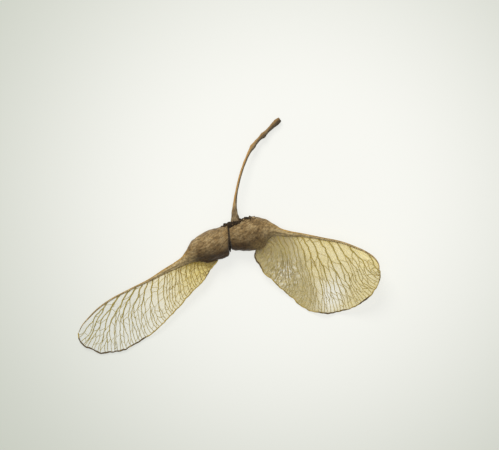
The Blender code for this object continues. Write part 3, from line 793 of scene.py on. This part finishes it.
def stalk_material(colours):
    """Thin bark of a dry fruit stalk: matt grey-brown with fibres along it, with painted light in ochre on
    one side and painted shade on the other, and darker towards the broken end."""
    made, tree, spot = new_material("dry_stalk_bark")
    surface = node(tree, "UVMap", uv_map="surface_mm")
    along, painted_lit_side, painted_shaded_side = (
        node(tree, "Attribute", attribute_name=name, out="Fac")
        for name in ("along", "painted_lit_side", "painted_shaded_side")
    )
    # Fibres of 1.25 by 0.2 mm, drawn coarser than real ones to show, and patches of 1.5 mm
    lengthways = node(tree, "Mapping", {"Vector": surface, "Scale": (0.8, 5.0, 1)})
    fibres = node(tree, "TexNoise", {"Vector": lengthways, "Scale": 1, "Detail": 4, "Roughness": 0.65})
    patches = node(tree, "TexNoise", {"Vector": spot, "Scale": 1 / (1.5 * MM), "Detail": 3})
    mottle = node(tree, "Mix", {0: 0.4, 2: fibres, 3: patches})
    stops = [(0.36, colours.stalk_dark_and_shade), (0.50, colours.stalk_mid), (0.62, colours.stalk_light)]
    colour = node(tree, "ValToRGB", (mottle,), stops=stops)
    far = node(tree, "MapRange", (along, 14.0, 26.0, 0, 0.8), **SMOOTH)
    # The far end is darker, one side gets painted light and the other painted shade.
    for share, other in (
        (far, colours.stalk_end),
        (painted_lit_side, colours.stalk_painted_light),
        (painted_shaded_side, colours.stalk_dark_and_shade),
    ):
        colour = node(tree, "Mix", {0: share, 6: colour, 7: other}, **COLOURS)
    bump = node(tree, "Bump", {"Height": fibres, "Distance": 0.10 * MM, "Strength": 0.8})
    look = {"Base Color": colour, "Roughness": 0.68, "Normal": bump, "Specular IOR Level": 0.3}
    node(tree, "OutputMaterial", {"Surface": node(tree, "BsdfPrincipled", look)})
    return made


def withered_and_seam_shade_material(colours):
    """Withered flower disc: shrivelled, nearly black-brown and matt. It also makes the painted shade in the
    seam.
    """
    made, tree, spot = new_material("withered_tissue_and_seam_shade")
    crumb = node(tree, "TexNoise", {"Vector": spot, "Scale": 1 / (0.45 * MM), "Detail": 4, "Roughness": 0.7})
    stops = [(0.35, colours.withered_dark_and_seam_shade), (0.55, colours.withered_mid), (0.74, colours.nutlet_mid)]
    colour = node(tree, "ValToRGB", (crumb,), stops=stops)
    bump = node(tree, "Bump", {"Height": crumb, "Distance": 0.15 * MM, "Strength": 0.9})
    look = {"Base Color": colour, "Roughness": 0.82, "Normal": bump, "Specular IOR Level": 0.2}
    node(tree, "OutputMaterial", {"Surface": node(tree, "BsdfPrincipled", look)})
    return made


def floor_material(colours):
    """Pale floor with painted light: matt, nearly white, and glowing faintly, so that the wings are seen
    against the light. The painted glow is brightest near the middle of the picture."""
    made, tree, spot = new_material("pale_floor_painted_glow")
    # A painted pool of light, brightest round GLOW_CENTRE
    away = node(tree, "VectorMath", (spot, GLOW_CENTRE), operation="DISTANCE", out="Value")
    fade = node(tree, "MapRange", (away, *GLOW_FADES, 0, 1), **SMOOTH)
    glow = node(tree, "Mix", {0: fade, 6: colours.floor, 7: colours.floor_far}, **COLOURS)
    # It reflects only a part of the light that falls on it, so that shadows on it stay faint.
    colour = {0: 1.0, 6: glow, 7: (FLOOR_REFLECTS,) * 3}
    colour = node(tree, "Mix", colour, blend_type="MULTIPLY", **COLOURS)
    fleck = node(tree, "TexNoise", {"Vector": spot, "Scale": 1 / (1.2 * MM), "Detail": 3})
    look = {
        "Base Color": colour,
        "Roughness": 0.9,
        "Normal": node(tree, "Bump", {"Height": fleck, "Distance": 0.01 * MM, "Strength": 0.2}),
        "Specular IOR Level": 0.1,
        "Emission Color": glow,
        "Emission Strength": GLOW_STRENGTH,
    }
    node(tree, "OutputMaterial", {"Surface": node(tree, "BsdfPrincipled", look)})
    return made


class Body:
    """A nutlet with the thick leading edge that grows out of it, as a skin round the half's spine."""

    def __init__(self, half):
        self.half = half
        self.total = lengths(half.line)[-1]

    def stations(self, at):
        """At these distances along the spine: centre, way out to the blade, half width, half thickness, how
        far the skin tapers on into the blade, and how sharply."""
        half = self.half
        every = np.c_[half.line[:, :2], half.line[:, 3], half.centre, half.normal, half.width]
        thick, x, y, nx, ny, width = at_length(every, at)[:, 2:].T
        lip = 0.80 + 0.20 * np.sqrt(1 - (1 - np.clip(at / LIP, 0, 1)) ** 2)
        tip = np.sqrt(np.clip((self.total - at) / 0.5, 0.02, 1))
        taper = np.minimum(0.22 * np.clip(at - half.spec["corner"], 0, None), TAPER)
        fades, over = half.spec["edge_fades"]
        taper = taper * (1 - 0.92 * ease((at - fades) / over)) * np.clip((self.total - at) / 4, 0, 1)
        sharp = 1 + 1.2 * taper / TAPER
        return np.c_[x, y], unit(np.c_[nx, ny]), width * lip * tip, thick * lip * tip, taper, sharp

    def skin(self, at, turn):
        """Points of the smooth skin and their outward ways, at these distances along and turns round."""
        centre, normal, width, thick, taper, sharp = self.stations(at)
        across, up = np.cos(turn), np.sin(turn)
        reach = np.where(across > 0, (width + taper)[..., None], width[..., None]) * across
        power = np.where(across > 0, sharp[..., None], 1.0)
        lift = thick[..., None] * np.sign(up) * np.abs(up) ** power
        plan = centre[..., None, :] + normal[..., None, :] * reach[..., None]
        points = np.concatenate([plan, (self.half.height(plan) + lift)[..., None]], axis=-1)
        aside = normal[..., None, :] * (across / width[..., None])[..., None]
        out = np.concatenate([aside, (up / thick[..., None])[..., None]], axis=-1)
        return points, unit(out), reach


def nutlet_and_edge(half, sides):
    """The points, UVs and values of a nutlet and its leading edge, with the wrinkles of its dry husk."""
    seed = half.spec["seed"]
    body = Body(half)
    total = body.total
    at = np.r_[LIP_RINGS, np.arange(RINGS_FROM, total, RING_STEP), total]
    turn = np.linspace(0, 2 * math.pi, sides + 1)
    points, out, reach = body.skin(at, np.tile(turn, (len(at), 1)))
    # How far the skin is pushed out: lumps, creases and wrinkles that run lengthways, and pits
    ends, over = NUTLET_ENDS
    nut = 1 - ease((at - ends) / over)
    push = np.zeros(reach.shape)
    for i in range(len(at)):
        for k in range(sides):
            spot = Vector(points[i, k])
            ring = Vector((math.cos(turn[k]), math.sin(turn[k]), 0))
            lump = noise.noise(spot * 0.42) * 0.16 + noise.noise(spot * 1.1) * 0.09
            crease = noise.noise(ring * 3.0 + Vector((0, 0, at[i] * 0.35 + seed))) * 0.09
            wrinkle = -abs(noise.noise(ring * 5.0 + Vector((0, 0, at[i] * 0.8 + seed + 7)))) * 0.12
            pit = -max(noise.noise(spot * 2.6) - 0.25, 0) * 0.20
            push[i, k] = nut[i] * (lump + crease + wrinkle + pit)
    ribs = RIB_HIGH * np.cos(turn * RIBS)[None] * (1 - nut)[:, None] * ease((total - at) / 6)[:, None]
    push = (push + ribs) * ease(at / 0.5 + 0.15)[:, None]
    push[:, -1] = push[:, 0]
    points = points + out * push[..., None]
    # The seam leans a little, and opens into a wedge at its end away from the stalk.
    lean = -0.03 - 0.085 * (points[..., 1] + 0.4)
    wedge = 0.16 * ease((-0.6 - points[..., 1]) / 2.0) * -half.side
    points[..., 0] += (lean + wedge) * (1 - ease(at / 2.5))[:, None]
    points[..., 2] = np.maximum(points[..., 2], 0.0)
    points[:, -1] = points[:, 0]
    # Painted shade darkens the belly side, less at the foot, and fades out along the spine.
    belly = np.clip(0.5 + np.cos(turn) * 0.62 - np.sin(turn) * 0.10, 0, 1)[None]
    foot = ease((belly - 0.62) / 0.36) * ease((at - 3.2) / 3.2)[:, None] * half.spec["foot"]
    ends, over = half.spec["belly_ends"]
    shaded = (1 - 0.45 * foot) * (1 - 0.85 * ease((at - ends) / over))[:, None]
    round_skin = np.cumsum(np.linalg.norm(np.diff(points, axis=1), axis=2), axis=1)
    along = np.repeat(at[:, None], sides + 1, axis=1)
    uv = np.stack([-half.side * along, np.c_[np.zeros(len(at)), round_skin]], axis=-1)
    values = {
        "along": along,
        "belly": belly * shaded,
        "back": np.repeat(1 - ease(belly / 0.22), len(at), axis=0),
        "foot": foot,
    }
    return points, uv, values


def vein_lines(half, sizes):
    """The whole net of one wing: (points, radii) of each vein, in millimetres."""
    root, end = sizes.vein_root / MM / 2, sizes.vein_end / MM / 2
    draw = random.Random(half.spec["seed"] + 5)
    lines, ways = vein_tree(half, sizes.vein_ends)
    made = []

    def lay(plan, v, radii):
        plan = half.stray(plan, v)
        made.append((np.c_[plan, half.height(plan)], radii))

    for mu, v, ends in lines:
        plan = half.flow(mu, v)
        long = lengths(plan)[-1]
        pick = np.linspace(0, 1, max(3, round(long / VEIN_STEP) + 1))
        at = np.interp(pick * long, lengths(plan), v)
        plan = half.flow(np.interp(at, v, mu), at)
        full = min((ends - 1) / (FULL_TRUNK - 1), 1) ** 0.7
        radii = (end + (root - end) * full) * (1.14 - 0.30 * at) * draw.uniform(0.85, 1.12)
        radii *= 1 - 0.22 * half.khaki(plan)
        lay(plan, at, radii)
    # Thin links, a little bowed, join each end's way to the next one's.
    for left, right in zip(ways[:-1], ways[1:]):
        v = draw.uniform(*FIRST_LINK)
        while v < LAST_LINK:
            slant = draw.uniform(0.05, 0.12) * draw.choice((-1, 1, 1))
            both = np.array([v, np.clip(v + slant, 0.02, 0.96)])
            shares = np.array([np.interp(at, *way) for at, way in zip(both, (left, right))])
            ends = half.flow(shares, both)
            gap = np.linalg.norm(ends[1] - ends[0])
            if LINK_LONG[0] < gap < LINK_LONG[1]:
                count = max(4, round(gap / VEIN_STEP) + 1)
                t = np.linspace(0, 1, count)[:, None]
                plan = ends[0] * (1 - t) + ends[1] * t
                aside = np.array([-(ends[1] - ends[0])[1], (ends[1] - ends[0])[0]]) / gap
                bow = draw.uniform(-0.12, 0.12) * gap
                plan = plan + aside * bow * np.sin(math.pi * t)
                radii = np.full(count, end * draw.choice(LINK_THIN))
                lay(plan, v + (both[1] - both[0]) * t[:, 0], radii)
            v += draw.uniform(*LINK_APART)
    return made


def membrane_sheet(half, sizes):
    """The points, UVs and values of one wing's membrane. Its rows run along the veins, between which it
    sags, and its material is told how near the next one is."""
    spec = half.spec
    spots = np.concatenate([points for points, _ in vein_lines(half, sizes)])
    tree = kdtree.KDTree(len(spots))
    for index, spot in enumerate(spots):
        tree.insert((spot[0], spot[1], 0), index)
    tree.balance()
    # Rows are spaced by the mean of their shares of the leading edge and of the free edge.
    every = np.linspace(0, 1, 2001)
    pace = (every + half.root_share(every)) / 2
    across = np.interp(np.linspace(0, 1, SHEET_ROWS), pace, every)
    mu, v = np.meshgrid(across, np.linspace(0, 1, SHEET_COLUMNS), indexing="ij")
    plan = half.flow(mu, v)
    near = np.array([tree.find((p[0], p[1], 0))[2] for p in plan.reshape(-1, 2)]).reshape(mu.shape)
    sag = ease(near / SAGS_FULLY) * sizes.quilt / MM * ease((1 - v) / 0.05) * (1 + 1.5 * half.crinkle(plan))
    points = np.concatenate([plan, (half.height(plan) - sag)[..., None]], axis=-1)
    reach = np.linalg.norm(half.flow(mu, 1.0) - half.flow(mu, 0.0), axis=-1)
    uv = np.stack([mu * lengths(half.margin)[-1], v * reach], axis=-1)
    outward = half.outward(plan, "tone_axis")
    from_edge = np.linalg.norm(plan - plan[:, :1], axis=-1)
    by_nutlet = 1 - ease((half.outward(plan) - 0.20) / 0.24)
    clearer = half.patches(plan)
    dense = np.interp(outward, *zip(*spec["dense"])) - clearer
    dense += 0.25 * np.exp(-from_edge / 0.7) + 0.3 * by_nutlet * np.exp(-from_edge / spec["husk_fades"])
    values = {
        "tone": np.interp(outward, *zip(*spec["tone"])) + 0.7 * clearer,
        "khaki": half.khaki(plan),
        # Light meets both faces of the sheet, so each holds back its part.
        "dense": 1 - np.sqrt(1 - np.clip(dense, 0.02, 0.98)),
        # The husk's brown, partly painted shade under the nutlet, fades out from the leading edge.
        "husk_near": 0.95 * np.exp(-((from_edge / spec["husk_fades"]) ** 1.3)) * by_nutlet,
        "vein_near": 1 - ease(near / VEIN_TINTS),
        "crinkle": half.crinkle(plan),
    }
    return points, uv, values


def stalk_skin(sides):
    """The points, UVs and values of the stalk: grooved, fluted at its foot, lumpy and torn at its end."""
    line = smooth_line(STALK, STALK_STEP)
    along = lengths(line)
    total = along[-1]
    way = unit(np.gradient(line[:, :3], axis=0))
    side = unit(np.cross(way, (0, 0, 1)))
    up = np.cross(side, way)
    turn = np.linspace(0, 2 * math.pi, sides + 1)
    points = np.zeros((len(line), sides + 1, 3))
    for i in range(len(line)):
        flare = 1 - ease(along[i] / 3.0)
        torn_off = ease((along[i] - total + 0.7) / 0.7)
        for k in range(sides):
            ring = Vector((math.cos(turn[k]), math.sin(turn[k]), 0))
            groove = 1 + (0.05 + 0.10 * flare) * math.cos(7 * turn[k] + 0.25 * along[i])
            lump = 1 + 0.14 * noise.noise(ring + Vector((0, 0, along[i] * 0.9)))
            radius = line[i, 3] * groove * lump
            torn = 0.35 * noise.noise(ring * 2.0 + Vector((0, 0, 5.0))) * torn_off
            points[i, k] = line[i, :3] + (side[i] * ring[0] + up[i] * ring[1]) * radius + way[i] * torn
    points[..., 2] = np.maximum(points[..., 2], 0.02)
    points[:, -1] = points[:, 0]
    uv = np.stack(np.broadcast_arrays(along[:, None], turn[None] * 0.35), axis=-1)
    # Painted light on the side that faces that way and painted shade on the other, both faint near the foot;
    # the painted light fades towards the broken end.
    facing = unit(points - line[:, None, :3]) @ unit(np.array(PAINTED_LIGHT_SIDE))
    slender = ease((along - 2.0) / 4.0)[:, None]
    browned = 1 - 0.6 * ease((along - 14) / 8)
    values = {
        "along": np.repeat(along[:, None], sides + 1, axis=1),
        "painted_lit_side": 0.9 * ease((facing - 0.10) / 0.8) * slender * browned[:, None],
        "painted_shaded_side": 0.9 * ease((-facing - 0.05) / 0.7) * slender,
    }
    return points, uv, values


def withered(half, points):
    """How withered and dark the free edge is at each point, from 0 to 1."""
    total = np.zeros(len(points))
    for x, y, radius in half.spec["withered"]:
        total += np.exp(-((np.linalg.norm(points[:, :2] - (x, y), axis=1) / radius) ** 4))
    return np.clip(total, 0, 1)


def size_property(name, description, metres):
    """A length that the sidebar can change."""
    return FloatProperty(
        name=name, description=description, default=metres, unit="LENGTH", subtype="DISTANCE"
    )


class SamaraSizes(bpy.types.PropertyGroup):
    """Sizes of the finer forms, which the frame doesn't hold."""

    film: size_property("Membrane", "Thickness of the wing's membrane between its veins", 0.00013)
    vein_root: size_property("Trunk vein", "Width of a vein that feeds many, at its root", 0.00031)
    vein_end: size_property("Fine vein", "Width of a vein that runs to the free edge by itself", 0.00015)
    rim: size_property("Rim", "Width of the welt along the wing's free edge", 0.00025)
    quilt: size_property("Quilting", "How far the membrane sags between its veins", 0.00006)
    vein_ends: IntProperty(
        name="Vein ends", description="Veins that reach the free edge of each wing", default=54, min=8
    )
    body_sides: IntProperty(
        name="Sides of a nutlet", description="Points round each section of a nutlet", default=72, min=12
    )
    stalk_sides: IntProperty(
        name="Sides of the stalk", description="Points round each section of the stalk", default=28, min=8
    )


def colour_property(name, description, hex_colour):
    """A colour that the sidebar can change."""
    return FloatVectorProperty(
        name=name, description=description, default=linear(hex_colour), subtype="COLOR", min=0, max=1
    )


class SamaraColours(bpy.types.PropertyGroup):
    """Colours of the dry fruit and of the floor it lies on."""

    nutlet_light: colour_property("Nutlet, pale", "Palest blotches of the nutlets' husk", "#B39A70")
    nutlet_mid: colour_property("Nutlet", "Main colour of the nutlets' husk", "#8A7048")
    nutlet_dark: colour_property("Nutlet, dark", "Darkest blotches of the nutlets' husk", "#5C452B")
    # Painted shade on the nutlets' side that faces the blade
    nutlet_belly_shade: colour_property("Nutlet's belly", "Husk on the side that faces the blade", "#3B2711")
    edge_light: colour_property("Leading edge, pale", "Palest fibres of the leading edge", "#D8CAA2")
    edge_mid: colour_property("Leading edge", "Main colour of the leading edge", "#BDA474")
    edge_dark: colour_property("Leading edge, dark", "Darkest fibres of the leading edge", "#94805A")
    edge_rim: colour_property("Leading edge's back", "Outermost fibres of the leading edge", "#B08A42")
    # The membrane's foot, also used as painted shade under the nutlets and in the crinkles' hollows
    film_foot_and_shade: colour_property("Membrane's foot", "Membrane where the nutlet's husk runs out", "#937A4B")
    film_khaki: colour_property("Membrane, khaki", "Membrane of a thick, opaque wing base", "#D9CB9B")
    film_base: colour_property("Membrane by the nutlet", "Membrane where it leaves the nutlet", "#FFEE90")
    film_middle: colour_property("Membrane, middle", "Membrane half way along the wing", "#FFEFA4")
    film_outer: colour_property("Membrane, outer", "Membrane near the wing's tip", "#F0F3EC")
    # Painted glints on the membrane's crinkled belly
    film_painted_glint: colour_property("Membrane, lifted", "Flecks where its crinkled skin has lifted", "#FFFCEC")
    film_clear: colour_property("Light through the membrane", "Tint of what shows through", "#FEFEFE")
    vein: colour_property("Vein", "Veins of the blade", "#CEBB66")
    vein_root: colour_property("Vein's root", "Veins near the nutlet", "#AE924C")
    vein_tip: colour_property("Vein's end", "Veins near the wing's tip", "#C9BA6C")
    rim_light: colour_property("Rim", "Palest stretches of the welt along the free edge", "#B49C52")
    rim_dark: colour_property("Rim, dark", "Darkest stretches of the welt along the free edge", "#5A4828")
    stalk_light: colour_property("Stalk, pale", "Palest fibres of the stalk", "#A8936F")
    stalk_mid: colour_property("Stalk", "Main colour of the stalk", "#7A664A")
    # Also the painted shade on the stalk's other side
    stalk_dark_and_shade: colour_property("Stalk, dark", "Darkest fibres of the stalk", "#4B3C29")
    # Painted light on one side of the stalk
    stalk_painted_light: colour_property("Stalk, bleached", "Bark on the side that the sun bleached", "#C29450")
    stalk_end: colour_property("Stalk's far end", "Bark where the stalk broke off", "#3E3226")
    withered_mid: colour_property("Withered tissue", "Shrivelled tissue round the stalk's foot", "#3F3123")
    # Also the painted shade in the seam
    withered_dark_and_seam_shade: colour_property("Withered tissue, dark", "Its deepest wrinkles and the seam", "#1B140D")
    # The two ends of the floor's painted glow
    floor: colour_property("Floor", "The pale floor in the middle of the picture", "#FBFBF6")
    floor_far: colour_property("Floor, far", "The pale floor away from the object", "#CBCFC4")


class SAMARA_OT_bodies(bpy.types.Operator):
    """Add both nutlets, each with the thick leading edge of its wing"""

    bl_idname = "samara.bodies"
    bl_label = "Nutlets and Leading Edges"

    def execute(self, context):
        scene = context.scene
        husk = husk_material(scene.samara_colours)
        for half in (Half(LEFT), Half(RIGHT)):
            piece = quad_sheet(*nutlet_and_edge(half, scene.samara_sizes.body_sides), rolled=True)
            finish_piece(piece, f"{half.name}_nutlet_and_edge", husk, half.spec["node"])
        return {"FINISHED"}


class SAMARA_OT_blades(bpy.types.Operator):
    """Add the thin membrane of each wing"""

    bl_idname = "samara.blades"
    bl_label = "Wing Membranes"

    def execute(self, context):
        scene = context.scene
        sizes = scene.samara_sizes
        film = membrane_material(scene.samara_colours)
        for half in (Half(LEFT), Half(RIGHT)):
            piece = quad_sheet(*membrane_sheet(half, sizes), thickness=sizes.film)
            finish_piece(piece, f"{half.name}_membrane", film, half.spec["node"])
        return {"FINISHED"}


class SAMARA_OT_veins(bpy.types.Operator):
    """Add the raised net of veins of each wing, and the welt along its free edge"""

    bl_idname = "samara.veins"
    bl_label = "Veins and Rims"

    def execute(self, context):
        scene = context.scene
        sizes = scene.samara_sizes
        vein = vein_material(scene.samara_colours)
        welt = rim_material(scene.samara_colours)
        for half in (Half(LEFT), Half(RIGHT)):
            piece = strands(vein_lines(half, sizes), 1)
            spots = np.array([vertex.co for vertex in piece.data.vertices]) / MM
            store(piece.data, "outward", half.outward(spots))
            finish_piece(piece, f"{half.name}_veins", vein, half.spec["node"])
            rim = at_length(half.margin, np.arange(0, lengths(half.margin)[-1], MARGIN_STEP))
            uneven = 0.30 * ripple(rim, 3, (0.9, 1.7, 2.9))
            radii = sizes.rim / MM / 2 * (1 + uneven + 0.30 * withered(half, rim))
            piece = strands([(np.c_[rim, half.height(rim)], radii)], 2)
            spots = np.array([vertex.co for vertex in piece.data.vertices]) / MM
            store(piece.data, "withered", withered(half, spots))
            finish_piece(piece, f"{half.name}_rim", welt, half.spec["node"])
        return {"FINISHED"}


class SAMARA_OT_stalk(bpy.types.Operator):
    """Add the fruit's stalk, flared at its foot and knotted where bracts fell"""

    bl_idname = "samara.stalk"
    bl_label = "Stalk"

    def execute(self, context):
        scene = context.scene
        piece = quad_sheet(*stalk_skin(scene.samara_sizes.stalk_sides), rolled=True)
        finish_piece(piece, "stalk_bark", stalk_material(scene.samara_colours), "stalk")
        return {"FINISHED"}


class SAMARA_OT_withered(bpy.types.Operator):
    """Add the withered flower disc round the stalk's foot and a dark strip of painted shade in the seam"""

    bl_idname = "samara.withered"
    bl_label = "Withered Disc and Seam"

    def execute(self, context):
        withered_and_seam_shade = withered_and_seam_shade_material(context.scene.samara_colours)
        draw = random.Random(4)
        flakes = []
        for spec, count, last, low, high in FLAKES:
            body = Body(Half(spec))
            for _ in range(count):
                at = np.array([0.1 + last * draw.random() ** 1.6])
                points, out, _ = body.skin(at, np.radians([[draw.uniform(low, high)]]))
                size = draw.uniform(*FLAKE_SIZE) * (1.1 - 0.13 * at[0]) * MM
                stands = 2.6 if draw.random() < STANDING_FLAKES else 0.6
                bpy.ops.mesh.primitive_ico_sphere_add(
                    subdivisions=2,
                    radius=size,
                    location=points[0, 0] * MM,
                    rotation=Vector(out[0, 0]).to_track_quat("Z", "Y").to_euler(),
                    scale=(draw.uniform(1.0, 2.4), draw.uniform(0.5, 1.0), draw.uniform(0.5, 1.0) * stands),
                )
                flakes.append(context.object)
                crumple(context.object, 2.2, size * 0.6)
        bpy.ops.object.select_all(action="DESELECT")
        for flake in flakes:
            flake.select_set(True)
        context.view_layer.objects.active = flakes[0]
        bpy.ops.object.join()
        finish_piece(context.object, "withered_disc", withered_and_seam_shade, "stalk")
        bpy.ops.object.select_all(action="DESELECT")
        # A dark strip of painted shade in the seam between the two nutlets
        bpy.ops.mesh.primitive_uv_sphere_add(
            segments=48,
            ring_count=32,
            radius=MM,
            location=(0, -0.98 * MM, 2.5 * MM),
            rotation=(0, 0, math.radians(5)),
            scale=(0.28, 2.95, 1.95),
        )
        crumple(context.object, 1.4, 0.10 * MM)
        finish_piece(context.object, "seam_shade_strip", withered_and_seam_shade, "left_samara")
        return {"FINISHED"}


class SAMARA_OT_stage(bpy.types.Operator):
    """Add the pale floor, the soft light and the camera that looks straight down"""

    bl_idname = "samara.stage"
    bl_label = "Stage"

    def execute(self, context):
        scene = context.scene
        bpy.ops.object.select_all(action="DESELECT")
        bpy.ops.mesh.primitive_plane_add(size=FLOOR_SIZE, location=(0, 0, 0))
        floor = context.object
        floor.name = "floor"
        floor.data.materials.append(floor_material(scene.samara_colours))
        for name, place, size, power, colour in SOFTBOXES:
            bpy.ops.object.light_add(type="AREA", location=place)
            light = context.object
            light.name = name
            light.rotation_euler = (Vector() - Vector(place)).to_track_quat("-Z", "Y").to_euler()
            light.data.shape = "DISK"
            light.data.size = size
            light.data.energy = power
            light.data.color = linear(colour)
        scene.world = bpy.data.worlds.new("studio_air")
        scene.world.use_nodes = True
        air = scene.world.node_tree.nodes["Background"]
        air.inputs["Color"].default_value = (*linear(AIR_COLOUR), 1)
        air.inputs["Strength"].default_value = AIR_STRENGTH
        pixel = MM_PER_PIXEL * MM
        distance = PICTURE_WIDTH * pixel * LENS / SENSOR
        right = (PICTURE_WIDTH / 2 - SEAM_PIXEL[0]) * pixel
        up = (SEAM_PIXEL[1] - PICTURE_HEIGHT / 2) * pixel
        bpy.ops.object.camera_add(location=(right, up, distance + PICTURE_LEVEL), rotation=(0, 0, 0))
        camera = context.object
        camera.name = "picture_camera"
        camera.data.lens = LENS
        camera.data.sensor_width = SENSOR
        camera.data.clip_start = 0.01
        camera.data.clip_end = 20
        scene.camera = camera
        scene.view_settings.view_transform = "Standard"
        scene.view_settings.look = "None"
        return {"FINISHED"}


class SAMARA_PT_panel(bpy.types.Panel):
    """The samara's sizes, colours and operators"""

    bl_idname = "SAMARA_PT_panel"
    bl_label = "Maple Samara"
    bl_space_type = "VIEW_3D"
    bl_region_type = "UI"
    bl_category = "Samara"

    def draw(self, context):
        for operator in OPERATORS:
            self.layout.operator(operator.bl_idname)
        for group in (context.scene.samara_sizes, context.scene.samara_colours):
            box = self.layout.box()
            for key in group.bl_rna.properties.keys():
                if key not in ("rna_type", "name"):
                    box.prop(group, key)


OPERATORS = (
    SAMARA_OT_bodies,
    SAMARA_OT_blades,
    SAMARA_OT_veins,
    SAMARA_OT_stalk,
    SAMARA_OT_withered,
    SAMARA_OT_stage,
)
CLASSES = (SamaraSizes, SamaraColours, *OPERATORS, SAMARA_PT_panel)


def register():
    noise.seed_set(WANDER_SEED)
    for cls in CLASSES:
        bpy.utils.register_class(cls)
    bpy.types.Scene.samara_sizes = PointerProperty(type=SamaraSizes)
    bpy.types.Scene.samara_colours = PointerProperty(type=SamaraColours)


def unregister():
    del bpy.types.Scene.samara_colours
    del bpy.types.Scene.samara_sizes
    for cls in reversed(CLASSES):
        bpy.utils.unregister_class(cls)


def main():
    """Builds every piece and the stage."""
    register()
    bpy.ops.object.select_all(action="DESELECT")
    for operator in OPERATORS:
        group, name = operator.bl_idname.split(".")
        getattr(getattr(bpy.ops, group), name)()


if __name__ == "__main__":
    main()
